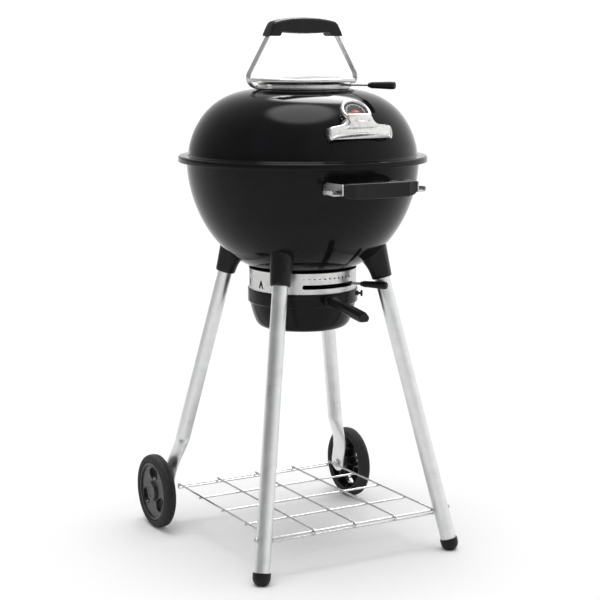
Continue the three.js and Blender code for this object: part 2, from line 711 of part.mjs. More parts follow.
function panHandleBracket() {
  const plate = box(-14, 14, -COLLAR_RADIUS - 4, -COLLAR_RADIUS + 6, 503, 523);
  const outside = COLLAR_RADIUS + GAP;
  const collar = lathe([[0, 490], [outside, 490], [outside, 530], [0, 530]], 96);
  const stub = bar(PAN_STUB_ROOT, PAN_STUB_END, PAN_STUB_RADIUS, 12);
  return solid(plate).add(solid(stub)).subtract(solid(collar));
}

// A faceted grip, a little wider towards its slanted end, moulded over the bracket's stub.
function panHandleGrip() {
  const section = (place, half, low, high) => [
    [-half + 3, low], [half - 3, low], [half, low + 4], [half, high - 5],
    [half - 4, high], [-half + 4, high], [-half, high - 5], [-half, low + 4],
  ].map(([x, z]) => point(x, place.y - z * 0.15, place.z + z));
  const middle = PAN_HANDLE_ROOT.clone().lerp(PAN_HANDLE_TIP, 0.5);
  const nose = PAN_HANDLE_TIP.clone().add(point(0, -5, -1));
  const grip = loft([
    section(PAN_HANDLE_ROOT, 9, -8, 8),
    section(middle, 11, -9, 9),
    section(PAN_HANDLE_TIP, 11.5, -9, 8.5),
    section(nose, 9, -6, 6),
  ]);
  const stubWay = PAN_STUB_ROOT.clone().sub(PAN_STUB_END).normalize();
  const stubSpace = bar(
    alongFrom(PAN_STUB_END, stubWay, 60), alongFrom(PAN_STUB_END, stubWay, -0.4),
    PAN_STUB_RADIUS + GAP + 0.1, 12,
  );
  return solid(grip).subtract(solid(stubSpace));
}

function thumbscrew() {
  const at = (radius) => around(radius, THUMBSCREW_ANGLE, THUMBSCREW_HEIGHT);
  const shank = bar(at(COLLAR_RADIUS + GAP), at(COLLAR_RADIUS + 7), 2.5, 12);
  const collar = bar(at(COLLAR_RADIUS + GAP), at(COLLAR_RADIUS + 2.5), 5, 12);
  const wings = box(-2.6, 2.6, -COLLAR_RADIUS - 11, -COLLAR_RADIUS - 6.4, -6.5, 6.5);
  wings.rotateZ(rad(THUMBSCREW_ANGLE)).translate(0, 0, THUMBSCREW_HEIGHT);
  return joined([shank, collar, wings].map(solid));
}

addPart('ash_pan', ashPan(), ENAMEL);
addPart('pan_handle_bracket', panHandleBracket(), NYLON);
addPart('pan_handle_grip', panHandleGrip(), NYLON);
addPart('pan_thumbscrew', thumbscrew(), NYLON);

// ------------------------------------------------------------------------------ lid

const BADGE_DIAL = point(0, -204.5, 889);
const DIAL_TILT = 46;               // the dial faces this far above the horizontal
const DIAL_RADIUS = 24;
const BEZEL_RADIUS = 31.5;
const PROBE_RADIUS = 3;
const VENT_HOLE_INNER = 16;
const VENT_HOLE_OUTER = 74;
const VENT_HOLE_TURNS = [0, 90, 180, 270];

// Places a piece made round +Z, face up, at the dial.
function atDial(geometry) {
  geometry.rotateX(rad(90 - DIAL_TILT));
  return geometry.translate(BADGE_DIAL.x, BADGE_DIAL.y, BADGE_DIAL.z);
}

// The bore that the thermometer's probe goes through, wider than it by a clearance.
function probeHole(clearance) {
  const radius = PROBE_RADIUS + clearance;
  return atDial(lathe([[0, -80], [radius, -80], [radius, 5], [0, 5]], 16));
}

function lidShell() {
  const outer = shellCurve(LID, 0, SHELL_STEPS).reverse();
  const inner = shellCurve(LID, SHEET, SHELL_STEPS);
  const skirt = [
    [RIM_RADIUS - RIM_EDGE, RIM_TOP], [RIM_RADIUS, RIM_TOP - RIM_EDGE], [RIM_RADIUS, RIM_SEAM],
    [RIM_RADIUS - SHEET, RIM_SEAM], [RIM_RADIUS - SHEET, RIM_TOP - SHEET],
    [LID.radius - SHEET, RIM_TOP - SHEET],
  ];
  let shell = solid(lathe([...outer, ...skirt, ...inner]));
  for (const turn of VENT_HOLE_TURNS) {
    const hole = sector(VENT_HOLE_INNER, VENT_HOLE_OUTER, turn - 22, turn + 22, 910, 940);
    shell = shell.subtract(solid(hole));
  }
  return shell.subtract(solid(probeHole(0.7)));
}

const VENT_RING_TOP = 936;
const VENT_RING_BASE = 927.2;
const VENT_FLANGE = 4;
const VENT_TRAVEL = 45;

// A ring on the lid, with a slot that lets the damper's lever turn.
function ventRing() {
  const inner = VENT_WALL_RADIUS - 1.4;
  const flangeTop = VENT_RING_BASE + 1;
  const wall = ringLathe([
    [inner, VENT_RING_BASE], [VENT_WALL_RADIUS + VENT_FLANGE, VENT_RING_BASE],
    [VENT_WALL_RADIUS + VENT_FLANGE, flangeTop], [VENT_WALL_RADIUS, flangeTop],
    [VENT_WALL_RADIUS, VENT_RING_TOP], [inner, VENT_RING_TOP],
  ]);
  const slot = sector(
    inner - 9, VENT_WALL_RADIUS + 10, VENT_LEVER_ANGLE - 4, VENT_LEVER_ANGLE + VENT_TRAVEL + 4,
    VENT_LEVER_HEIGHT - 1.4, VENT_RING_TOP + 4,
  );
  return solid(wall).subtract(solid(slot));
}

// A shallow domed cover with a rolled lip.
function ventCap() {
  return lathe([
    [0, CAP_TOP - 1.5], [80, CAP_TOP - 3.5], [98, CAP_TOP - 6], [CAP_RADIUS - 3, CAP_TOP - 9],
    [CAP_RADIUS - 1.5, CAP_BOTTOM], [CAP_RADIUS, CAP_BOTTOM], [CAP_RADIUS - 1, CAP_TOP - 6],
    [98, CAP_TOP - 3], [80, CAP_TOP - 1.2], [0, CAP_TOP],
  ]);
}

const STUD_RADIUS = 4;
const STUD_FLANGE = 9;

// A post on the lid that carries the cap and that the damper turns round.
function ventStud() {
  return lathe([
    [0, 928.9], [STUD_FLANGE, 928.9], [STUD_FLANGE, 930], [STUD_RADIUS, 930.3],
    [STUD_RADIUS, 941], [STUD_FLANGE, 941.5], [STUD_FLANGE, 950.1], [0, 950.1],
  ], 16);
}

addPart('lid_shell', lidShell(), ENAMEL);
addPart('vent_ring', ventRing(), STAINLESS);
addPart('vent_cap', ventCap(), STAINLESS);
addPart('vent_stud', ventStud(), STAINLESS);

// Damper disc in the vent ring, turned by its lever.
function ventDamper() {
  const [bottom, top] = [VENT_LEVER_HEIGHT - 1.4, VENT_LEVER_HEIGHT - 0.2];
  const bore = STUD_RADIUS + 0.4;
  let disc = solid(ringLathe([[bore, bottom], [86, bottom], [86, top], [bore, top]]));
  for (const turn of VENT_HOLE_TURNS) {
    disc = disc.subtract(solid(sector(VENT_HOLE_INNER, VENT_HOLE_OUTER, turn - 20, turn + 20, 920, 940)));
  }
  return disc;
}

const UPPER_GRIP_START = 146;
const UPPER_ROD = 2.2;
const UPPER_GRIP_HEIGHT = VENT_LEVER_HEIGHT + 2.3;
const upperRod = bar(
  around(78, VENT_LEVER_ANGLE, VENT_LEVER_HEIGHT + UPPER_ROD + 0.1),
  around(UPPER_GRIP_START - GAP, VENT_LEVER_ANGLE, UPPER_GRIP_HEIGHT),
  UPPER_ROD, 10,
);
const upperGrip = leverGrip(VENT_LEVER_ANGLE, UPPER_GRIP_HEIGHT, UPPER_GRIP_START);
addPart('vent_damper', ventDamper(), STAINLESS);
addPart('vent_lever_rod', upperRod, STAINLESS);
addPart('vent_lever_grip', upperGrip, NYLON);

// Strap handle over the lid, with a moulded grip.
const STRAP = 3;
const STRAP_WIDTH = 16;
const STRAP_SIDE = [
  [97, 927.9], [104, 928.6], [113, 932.5], [119.5, 939.5], [122, 948], [120.4, 957],
  [80.6, 1025.5], [74, 1038], [68, 1043.5], [60, 1046],
];
const GRIP_TOP = 1066;
const LUG_BOTTOM = 1028.6;
const LID_GRIP_DEPTH = 34;

const mirrored = (half) => half.map(([x, z]) => [-x, z]).reverse();

function lidHandleStrap() {
  const outline = stripOutline([...STRAP_SIDE, ...mirrored(STRAP_SIDE)], STRAP);
  return slab(outline, STRAP_WIDTH).rotateX(Math.PI / 2);
}

// Arched on top, with a lug at each end that the strap goes into.
function lidHandleGrip() {
  const right = [
    [28, 1034.6], [50, 1036.8], [56, LUG_BOTTOM], [83, LUG_BOTTOM], [81, LUG_BOTTOM + 7],
    [71, 1057.5], [54, 1061.6], [30, 1064.9],
  ];
  const outline = [[0, 1033.6], ...right, [0, GRIP_TOP], ...mirrored(right)];
  const block = solid(slab(outline, LID_GRIP_DEPTH, 4).rotateX(Math.PI / 2));
  const hidden = STRAP_SIDE.slice(5);
  const slotLine = stripOutline([...hidden, ...mirrored(hidden)], STRAP + 2 * GAP);
  return block.subtract(solid(slab(slotLine, STRAP_WIDTH + 2 * GAP).rotateX(Math.PI / 2)));
}

addPart('lid_handle_strap', lidHandleStrap(), STAINLESS);
addPart('lid_handle_grip', lidHandleGrip(), NYLON);

// Thermometer on a cast badge: a round housing above a plain arched ribbon.
const RIBBON_HALF = 69.5;
const RIBBON_HEIGHT = 22;
const RIBBON_DROOP = 7;
const RIBBON_THICKNESS = 16;        // before the lid's shape is cut from its back
const RIBBON_STEPS = 8;

function ribbon() {
  const edge = (height) => Array.from({ length: RIBBON_STEPS + 1 }, (_, i) => {
    const x = RIBBON_HALF * (1 - (2 * i) / RIBBON_STEPS);
    return [x, height - RIBBON_DROOP * (x / RIBBON_HALF) ** 2];
  });
  const outline = [...edge(RIBBON_HEIGHT), ...edge(0).reverse()];
  return slab(outline, RIBBON_THICKNESS).rotateX(rad(80)).translate(0, -217, 844.5);
}

function badge() {
  const housing = atDial(lathe([
    [0, -19], [BEZEL_RADIUS - 2, -19], [BEZEL_RADIUS, -3], [BEZEL_RADIUS - 1.5, 1.5],
    [DIAL_RADIUS + 1.5, 2.5], [0, 2.5],
  ], 20));
  const neck = box(-24, 24, -219, -196, 858, 876);
  const recessRadius = DIAL_RADIUS + GAP;
  const recess = atDial(lathe([[0, -4], [recessRadius, -4], [recessRadius, 9], [0, 9]], 20));
  const lidSpace = lathe([[0, RIM_TOP], ...shellCurve(LID, -GAP - 0.4, SHELL_STEPS)]);
  const casting = joined([housing, ribbon(), neck].map(solid));
  return casting.subtract(joined([recess, probeHole(GAP)].map(solid))).subtract(solid(lidSpace));
}

const NEEDLE_HEIGHT = -1.2;         // from the bezel's face
const NEEDLE_COLD_ANGLE = 98;       // anticlockwise from straight up the dial

function needle() {
  const blade = slab([[-2, -6], [2, -6], [1, 2], [0.4, 17], [-0.4, 17], [-1, 2]], 0.8);
  return solid(blade).add(bolt(-0.6, 0.8, 3));
}

// A disc on the dial's axis between two depths, its front raised in the middle by a crown.
function dialDisc(back, front, radius, crown = 0) {
  return atDial(lathe([[0, back], [radius, back], [radius, front], [0, front + crown]], 20));
}

function probe() {
  return atDial(lathe([[0, -72], [PROBE_RADIUS, -70], [PROBE_RADIUS, -4.1], [0, -4.1]], 16));
}

addPart('thermometer_badge', badge(), CAST_BADGE);
addPart('thermometer_dial', dialDisc(-3.7, -2.2, DIAL_RADIUS), DIAL_FACE);
addPart('thermometer_lens', dialDisc(0.2, 1.2, DIAL_RADIUS, 0.4), CLEAR_GLASS);
addPart('thermometer_probe', probe(), STAINLESS);

const needleMesh = addPart('thermometer_needle', needle(), NEEDLE_RED);
needleMesh.position.copy(BADGE_DIAL);
needleMesh.rotation.x = rad(90 - DIAL_TILT);
needleMesh.translateZ(NEEDLE_HEIGHT);
needleMesh.rotateZ(rad(NEEDLE_COLD_ANGLE));

// --------------------------------------------------------------------------- grates

// A round rim wire, bars from front to back on it, and two cross bars beneath.
function grate(height, radius, barCount, pitch) {
  const rim = solid(ringLathe([
    [radius - 2 * GRATE_WIRE, height], [radius - GRATE_WIRE, height - GRATE_WIRE],
    [radius, height], [radius - GRATE_WIRE, height + GRATE_WIRE],
  ], ROUND));
  const bars = [];
  const reach = radius - 1.37 * GRATE_WIRE;
  const across = (offset, z, turned) => {
    const half = Math.sqrt(reach ** 2 - offset ** 2);
    const ends = turned
      ? [point(-half, offset, z), point(half, offset, z)]
      : [point(offset, -half, z), point(offset, half, z)];
    return solid(bar(...ends, GRATE_WIRE * 0.9, 4));
  };
  for (let i = 0; i < barCount; i++) {
    bars.push(across((i - (barCount - 1) / 2) * pitch, height + 0.8, false));
  }
  for (const side of [-1, 1]) bars.push(across(side * radius * 0.5, height - 0.8, true));
  return joined([rim, ...bars]);
}

addPart('cooking_grate', grate(
  COOKING_GRATE_HEIGHT, COOKING_GRATE_RADIUS, COOKING_GRATE_BARS, COOKING_GRATE_PITCH,
), WIRE);
addPart('charcoal_grate', grate(
  CHARCOAL_GRATE_HEIGHT, CHARCOAL_GRATE_RADIUS, CHARCOAL_GRATE_BARS, CHARCOAL_GRATE_PITCH,
), WIRE);

// ------------------------------------------------------------------------ fasteners

const SHELF_BOLT_Y = -209.8;
const SHELF_BOLT_HEAD = 5;          // its radius and its height

// The head of the bolt that holds the shelf to a front leg.
function shelfBolt(side) {
  const share = SHELF_HEIGHT / FRONT_SOCKET.z;
  const legX = FRONT_FOOT.x - share * (FRONT_FOOT.x - FRONT_SOCKET.x);
  const seat = (legX + LEG_RADIUS + 2) * side;
  const from = point(seat, SHELF_BOLT_Y, SHELF_HEIGHT);
  const to = point(seat + SHELF_BOLT_HEAD * side, SHELF_BOLT_Y, SHELF_HEIGHT);
  return bar(from, to, SHELF_BOLT_HEAD, 12, 3.5);
}

for (const [name, side] of SIDES) addPart(`shelf_bolt_${name}`, shelfBolt(side), STAINLESS);

export default grill;
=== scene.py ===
"""The looks of a kettle charcoal grill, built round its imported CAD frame.

Lengths are millimetres about the kettle's own vertical axis: x to the right, y to the
back, z up from the floor. Angles run in degrees from the front towards the right.
Meshes turn into metres when add() makes them pieces.
"""

import json
import math

import bmesh
import bpy
from mathutils import Matrix, Vector
from mathutils.geometry import delaunay_2d_cdt

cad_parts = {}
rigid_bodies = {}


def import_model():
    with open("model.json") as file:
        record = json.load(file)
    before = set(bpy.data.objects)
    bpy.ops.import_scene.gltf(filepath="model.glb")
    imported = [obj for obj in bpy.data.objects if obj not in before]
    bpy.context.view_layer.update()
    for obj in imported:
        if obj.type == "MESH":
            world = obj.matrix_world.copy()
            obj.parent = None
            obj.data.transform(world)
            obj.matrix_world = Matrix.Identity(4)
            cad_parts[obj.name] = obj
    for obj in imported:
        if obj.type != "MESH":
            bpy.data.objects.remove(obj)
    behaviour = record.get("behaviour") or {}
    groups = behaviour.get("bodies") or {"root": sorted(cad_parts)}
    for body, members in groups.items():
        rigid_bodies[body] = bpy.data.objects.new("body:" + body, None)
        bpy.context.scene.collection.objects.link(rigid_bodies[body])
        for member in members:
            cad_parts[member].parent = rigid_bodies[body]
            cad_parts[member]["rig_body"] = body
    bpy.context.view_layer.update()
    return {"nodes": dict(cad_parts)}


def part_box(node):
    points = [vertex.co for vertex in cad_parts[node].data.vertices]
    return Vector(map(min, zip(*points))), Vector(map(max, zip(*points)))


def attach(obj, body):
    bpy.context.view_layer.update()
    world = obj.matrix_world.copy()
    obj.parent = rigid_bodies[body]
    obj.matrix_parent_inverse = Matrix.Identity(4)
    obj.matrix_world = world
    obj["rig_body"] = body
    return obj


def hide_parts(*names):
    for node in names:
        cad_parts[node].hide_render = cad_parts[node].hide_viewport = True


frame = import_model()
MM = 0.001


def span(node):
    """The lowest and highest corners of a CAD node, in millimetres."""
    low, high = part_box(node)
    return low / MM, high / MM


# ------------------------------------------------------------- places read from the frame

LID_LOW, LID_HIGH = span("lid_shell")
BOWL_LOW, BOWL_HIGH = span("bowl")
TYRE_LOW, TYRE_HIGH = span("tyre_right")
CAP_LOW, CAP_HIGH = span("vent_cap")
RING_LOW, RING_HIGH = span("ash_ring")
PAN_LOW, PAN_HIGH = span("ash_pan")
SHELF_LOW, SHELF_HIGH = span("wire_shelf")
HANDLE_LOW, HANDLE_HIGH = span("bowl_handle_grip")
COOKING_LOW, COOKING_HIGH = span("cooking_grate")
CHARCOAL_LOW, CHARCOAL_HIGH = span("charcoal_grate")

KETTLE_Y = (LID_LOW.y + LID_HIGH.y) / 2
RIM_RADIUS = (LID_HIGH.x - LID_LOW.x) / 2
RIM_TOP = LID_LOW.z + 8.4
RIM_BOTTOM = BOWL_HIGH.z - 5.1
LID_TOP = LID_HIGH.z
BOWL_FLOOR = BOWL_LOW.z
SHEET = 1.8

LID_RADIUS = 229.7
LID_FLATNESS = 3.872
LID_CROWN = 1.621
BOWL_RADIUS = 232.7
BOWL_FLATNESS = 2.559
BOWL_CROWN = 1.802

WHEEL_RADIUS = (TYRE_HIGH.z - TYRE_LOW.z) / 2
WHEEL_MIDDLE = (TYRE_HIGH.x + TYRE_LOW.x) / 2
WHEEL_HALF = (TYRE_HIGH.x - TYRE_LOW.x) / 2
AXLE_Y = (TYRE_HIGH.y + TYRE_LOW.y) / 2 - KETTLE_Y
AXLE_Z = WHEEL_RADIUS

CAP_RADIUS = (CAP_HIGH.x - CAP_LOW.x) / 2
ASH_RING_RADIUS = (RING_HIGH.x - RING_LOW.x) / 2
COLLAR_RADIUS = (PAN_HIGH.x - PAN_LOW.x) / 2
SHELF_HALF_LENGTH = (SHELF_HIGH.y - SHELF_LOW.y) / 2
LEVER_HEIGHT = 541.4
LOWER_LEVER_ANGLE = 34
UPPER_LEVER_HEIGHT = 934.7
UPPER_LEVER_ANGLE = 32

LEG_RADIUS = 15.5
FRONT_FOOT = Vector((218.9, -226.6, 0))
FRONT_SOCKET = Vector((116.5, -117.4, 552.1))
REAR_CRIMP = Vector((187, 183, 192.4))
REAR_SOCKET = Vector((116.5, 117.4, 552.1))
LEG_TOP_RUN = 30
TONGUE_X = 210
TONGUE_THICKNESS = 4.2
TONGUE_END = 80

DIAL_CENTRE = Vector((0, -204.5, 889))
DIAL_TILT = 46
DIAL_RADIUS = 24
BEZEL_RADIUS = 31.5

SEGMENTS = 180
SIDES = {"left": -1, "right": 1}


# ------------------------------------------------------------------------ mesh helpers

def around(radius, angle, height):
    turn = math.radians(angle)
    return Vector((radius * math.sin(turn), -radius * math.cos(turn), height))


def tidied(bm):
    """Merges coincident points, drops what that leaves loose, and turns the faces outwards."""
    bmesh.ops.remove_doubles(bm, verts=bm.verts, dist=1e-4)
    loose = [edge for edge in bm.edges if not edge.link_faces]
    bmesh.ops.delete(bm, geom=loose, context="EDGES")
    bmesh.ops.recalc_face_normals(bm, faces=bm.faces)
    return bm


def loft(rings, looped=False):
    """A skin through rings of equal point count, closed at its ends or looped round."""
    bm = bmesh.new()
    rows = [[bm.verts.new(point) for point in ring] for ring in rings]
    pairs = list(zip(rows, rows[1:]))
    if looped:
        pairs.append((rows[-1], rows[0]))
    for before, after in pairs:
        for i in range(len(before)):
            j = (i + 1) % len(before)
            bm.faces.new((before[i], before[j], after[j], after[i]))
    if not looped:
        bm.faces.new(rows[0])
        bm.faces.new(rows[-1])
    return tidied(bm)


def revolved(profile, segments=SEGMENTS):
    """A closed profile of (radius, height) points turned about the Z axis."""
    rings = [
        [around(radius, 360 * i / segments, height) for radius, height in profile]
        for i in range(segments)
    ]
    return loft(rings, looped=True)


def rounded(corners, steps=5, closed=True):
    """Corners of (coordinates..., radius) with each corner turned into a small curve."""
    places = [Vector(corner[:-1]) for corner in corners]
    count = len(places)
    points = []
    for i, place in enumerate(places):
        radius = corners[i][-1]
        if radius == 0 or (not closed and i in (0, count - 1)):
            points.append(place)
            continue
        before = places[i - 1] - place
        after = places[(i + 1) % count] - place
        start = place + before.normalized() * min(radius, before.length * 0.49)
        end = place + after.normalized() * min(radius, after.length * 0.49)
        for step in range(steps + 1):
            share = step / steps
            points.append(start.lerp(place, share).lerp(place.lerp(end, share), share))
    return points


def smooth_line(points, steps=6):
    """A Catmull-Rom curve through the points."""
    places = [Vector(point) for point in points]
    line = []
    for i in range(len(places) - 1):
        a = places[max(i - 1, 0)]
        b, c = places[i], places[i + 1]
        d = places[min(i + 2, len(places) - 1)]
        for step in range(steps):
            t = step / steps
            line.append(0.5 * (2 * b + (c - a) * t + (2 * a - 5 * b + 4 * c - d) * t * t
                               + (3 * b - a - 3 * c + d) * t * t * t))
    return line + [places[-1]]


def swept(path, outlines, up):
    """An outline carried along a path. Outlines may differ from point to point."""
    path = [Vector(place) for place in path]
    if not isinstance(outlines[0][0], (tuple, list, Vector)):
        outlines = [outlines] * len(path)
    rings = []
    for i, place in enumerate(path):
        way = (path[min(i + 1, len(path) - 1)] - path[max(i - 1, 0)]).normalized()
        side = way.cross(Vector(up)).normalized()
        top = side.cross(way)
        rings.append([place + side * x + top * y for x, y in outlines[i]])
    return loft(rings)


def circle(radius, sides=20):
    turns = [2 * math.pi * i / sides for i in range(sides)]
    return [(radius * math.cos(turn), radius * math.sin(turn)) for turn in turns]


def tube(path, radius, up=(0, 0, 1), sides=16, chamfer=0.0):
    """A round bar along a path, its ends chamfered."""
    path = [Vector(place) for place in path]
    radii = [radius] * len(path)
    if chamfer:
        first = (path[1] - path[0]).normalized() * chamfer
        last = (path[-2] - path[-1]).normalized() * chamfer
        path = [path[0], path[0] + first, *path[1:-1], path[-1] + last, path[-1]]
        radii = [radius - chamfer, *([radius] * (len(path) - 2)), radius - chamfer]
    return swept(path, [circle(size, sides) for size in radii], up)


def hoop(radius, height, wire, segments=SEGMENTS, sides=14):
    """A closed ring of round wire."""
    return revolved([(radius + x, height + y) for x, y in circle(wire, sides)], segments)


def rounded_box(half, low, high, radius, top_radius=None):
    """The outline of a box from -half to half and from low to high, with soft corners."""
    top_radius = radius if top_radius is None else top_radius
    return rounded([
        (-half, low, radius), (half, low, radius),
        (half, high, top_radius), (-half, high, top_radius),
    ])


def block(x, y, z, radius=0.0):
    """A box between pairs of values, its upright edges rounded."""
    outline = rounded([(x[0], y[0], radius), (x[1], y[0], radius),
                       (x[1], y[1], radius), (x[0], y[1], radius)])
    return loft([[Vector((*point, height)) for point in outline] for height in z])


def offset_line(profile, distance):
    """An open line of (radius, height) points moved to the right of its direction."""
    line = []
    for i, (radius, height) in enumerate(profile):
        before = Vector(profile[max(i - 1, 0)])
        after = Vector(profile[min(i + 1, len(profile) - 1)])
        way = (after - before).normalized()
        reach = 0 if radius == 0 else radius + way.y * distance
        line.append((reach, height - way.x * distance))
    return line


def shell(profile, thickness, segments=SEGMENTS, is_hole=None):
    """Sheet metal turned about the Z axis, open where is_hole(radius, angle, height) says."""
    bm = bmesh.new()
    skins = [
        [[bm.verts.new(around(radius, 360 * j / segments, height)) for j in range(segments)]
         for radius, height in side]
        for side in (profile, offset_line(profile, thickness))
    ]

    def is_sheet(i, j):
        if not 0 <= i < len(profile) - 1:
            return False
        radius = (profile[i][0] + profile[i + 1][0]) / 2
        height = (profile[i][1] + profile[i + 1][1]) / 2
        return not (is_hole and is_hole(radius, 360 * (j + 0.5) / segments, height))

    def wall(a, b):
        corners = [skins[0][a[0]][a[1]], skins[0][b[0]][b[1]],
                   skins[1][b[0]][b[1]], skins[1][a[0]][a[1]]]
        bm.faces.new(corners)

    for i in range(-1, len(profile) - 1):
        for j in range(segments):
            k = (j + 1) % segments
            if is_sheet(i, j):
                for skin in skins:
                    bm.faces.new((skin[i][j], skin[i][k], skin[i + 1][k], skin[i + 1][j]))
            if is_sheet(i, j) != is_sheet(i + 1, j):
                wall((i + 1, j), (i + 1, k))
            if is_sheet(i, j) != is_sheet(i, k):
                wall((i, k), (i + 1, k))
    return tidied(bm)


def divided(loop, pitch):
    """A closed loop of points with more points along its long edges."""
    points = []
    for i, start in enumerate(loop):
        end = Vector(loop[(i + 1) % len(loop)])
        start = Vector(start)
        steps = max(1, math.ceil((end - start).length / pitch))
        points += [start.lerp(end, step / steps) for step in range(steps)]
    return points


def is_inside(point, loop):
    """Whether a flat point lies inside a closed loop."""
    inside = False
    for a, b in zip(loop, [*loop[1:], loop[0]]):
        if (a.y > point.y) != (b.y > point.y):
            if point.x < a.x + (b.x - a.x) * (point.y - a.y) / (b.y - a.y):
                inside = not inside
    return inside


def grown(loop, distance):
    """An anticlockwise flat loop with every side moved outwards."""
    places = [Vector(point) for point in loop]
    line = []
    for i, place in enumerate(places):
        way = (places[(i + 1) % len(places)] - places[i - 1]).normalized()
        line.append(place + Vector((way.y, -way.x)) * distance)
    return line


def plate(outline, holes=(), thickness=1.0, pitch=None):
    """A flat sheet with holes, in the XY plane from z 0 up, cut finely where it will bend."""
    loops = [[Vector(point) for point in loop] for loop in (outline, *holes)]
    if pitch:
        loops = [divided(loop, pitch) for loop in loops]
    points, edges = [], []
    for loop in loops:
        start = len(points)
        points += loop
        edges += [(start + i, start + (i + 1) % len(loop)) for i in range(len(loop))]
    if pitch:
        xs = [point.x for point in loops[0]]
        ys = [point.y for point in loops[0]]
        across = math.ceil((max(xs) - min(xs)) / pitch)
        up = math.ceil((max(ys) - min(ys)) / pitch)
        points += [
            Vector((min(xs) + (max(xs) - min(xs)) * i / across,
                    min(ys) + (max(ys) - min(ys)) * j / up))
            for i in range(1, across) for j in range(1, up)
        ]
    places, _, faces, *_ = delaunay_2d_cdt(points, edges, [], 1, 1e-5)
    faces = [face for face in faces
             if not any(is_inside(sum((places[i] for i in face), Vector((0, 0))) / 3, hole)
                        for hole in loops[1:])]
    bm = bmesh.new()
    levels = [[bm.verts.new((*place, height)) for place in places]
              for height in (0, thickness)]
    uses = {}
    for face in faces:
        for level in levels:
            bm.faces.new([level[i] for i in face])
        for a, b in zip(face, [*face[1:], face[0]]):
            uses.setdefault(frozenset((a, b)), []).append((a, b))
    for pairs in uses.values():
        if len(pairs) == 1:
            a, b = pairs[0]
            bm.faces.new((levels[0][a], levels[0][b], levels[1][b], levels[1][a]))
    bmesh.ops.delete(bm, geom=[v for v in bm.verts if not v.link_faces], context="VERTS")
    return tidied(bm)


def moved(bm, matrix):
    bmesh.ops.transform(bm, matrix=matrix, verts=bm.verts)
    if matrix.determinant() < 0:
        bmesh.ops.reverse_faces(bm, faces=bm.faces)
    return bm


def shifted(bm, x=0, y=0, z=0):
    return moved(bm, Matrix.Translation((x, y, z)))


def turned(bm, angle, axis="Z"):
    return moved(bm, Matrix.Rotation(math.radians(angle), 4, axis))


def mirrored(bm):
    return moved(bm, Matrix.Scale(-1, 4, (1, 0, 0)))


def rolled(bm, radius):
    """Bends a flat plate round the Z axis, its x along the arc and its y upwards."""
    for vert in bm.verts:
        x, y, z = vert.co
        vert.co = around(radius + z, math.degrees(x / radius), y)
    return tidied(bm)


def folded(bm, path):
    """Bends a flat plate along a plan path, its x along the path and its y upwards."""
    places = [Vector(place) for place in path]
    runs = [(b - a).length for a, b in zip(places, places[1:])]
    for vert in bm.verts:
        left, i = vert.co.x, 0
        while i < len(runs) - 1 and left > runs[i]:
            left -= runs[i]
            i += 1
        way = (places[i + 1] - places[i]).normalized()
        spot = places[i] + way * left
        vert.co = (spot.x + way.y * vert.co.z, spot.y - way.x * vert.co.z, vert.co.y)
    return tidied(bm)


def together(*meshes):
    whole = bmesh.new()
    for bm in meshes:
        part = bpy.data.meshes.new("part")
        bm.to_mesh(part)
        bm.free()
        whole.from_mesh(part)
        bpy.data.meshes.remove(part)
    return whole


def shaped(bm, tool, operation="DIFFERENCE"):
    """One mesh cut by another, or joined to it."""
    objects = []
    for part in (bm, tool):
        mesh = bpy.data.meshes.new("part")
        part.to_mesh(mesh)
        part.free()
        objects.append(bpy.data.objects.new("part", mesh))
        bpy.context.scene.collection.objects.link(objects[-1])
    body, cutter = objects
    modifier = body.modifiers.new("shape", "BOOLEAN")
    modifier.object = cutter
    modifier.operation = operation
    modifier.solver = "EXACT"
    result = bmesh.new()
    result.from_object(body, bpy.context.evaluated_depsgraph_get())
    for thing in objects:
        mesh = thing.data
        bpy.data.objects.remove(thing)
        bpy.data.meshes.remove(mesh)
    return tidied(result)


def facing(origin, axis, towards):
    """The frame at origin whose Z is the axis and whose X leans towards a direction."""
    z = Vector(axis).normalized()
    y = z.cross(Vector(towards)).normalized()
    x = y.cross(z)
    turn = Matrix((x, y, z)).transposed().to_4x4()
    return Matrix.Translation(origin) @ turn


def add(name, bm, finish, replaces=(), beside=None, crease=32, bevel=0.0, pose=None):
    """Makes a mesh a piece that rides with the CAD nodes it replaces or sits beside."""
    pose = Matrix.Identity(4) if pose is None else pose.copy()
    pose.translation = (pose.translation + Vector((0, KETTLE_Y, 0))) * MM
    moved(bm, Matrix.Scale(MM, 4))
    mesh = bpy.data.meshes.new(name)
    bm.to_mesh(mesh)
    bm.free()
    mesh.shade_smooth()
    mesh.set_sharp_from_angle(angle=math.radians(crease))
    mesh.materials.append(finish)
    piece = bpy.data.objects.new(name, mesh)
    bpy.context.scene.collection.objects.link(piece)
    piece.matrix_world = pose
    if bevel:
        modifier = piece.modifiers.new("soft edges", "BEVEL")
        modifier.width = bevel * MM
        modifier.segments = 3
        modifier.limit_method = "ANGLE"
        modifier.angle_limit = math.radians(crease)
        modifier.harden_normals = True
    node = replaces[0] if replaces else beside
    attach(piece, frame["nodes"][node]["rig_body"])
    if replaces:
        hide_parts(*replaces)
    return piece


# --------------------------------------------------------------------------- materials

def node(tree, kind, inputs=None, **settings):
    made = tree.nodes.new("ShaderNode" + kind)
    for key, value in settings.items():
        setattr(made, key, value)
    for key, value in (inputs or {}).items():
        if isinstance(value, bpy.types.NodeSocket):
            tree.links.new(value, made.inputs[key])
        else:
            made.inputs[key].default_value = value
    return made


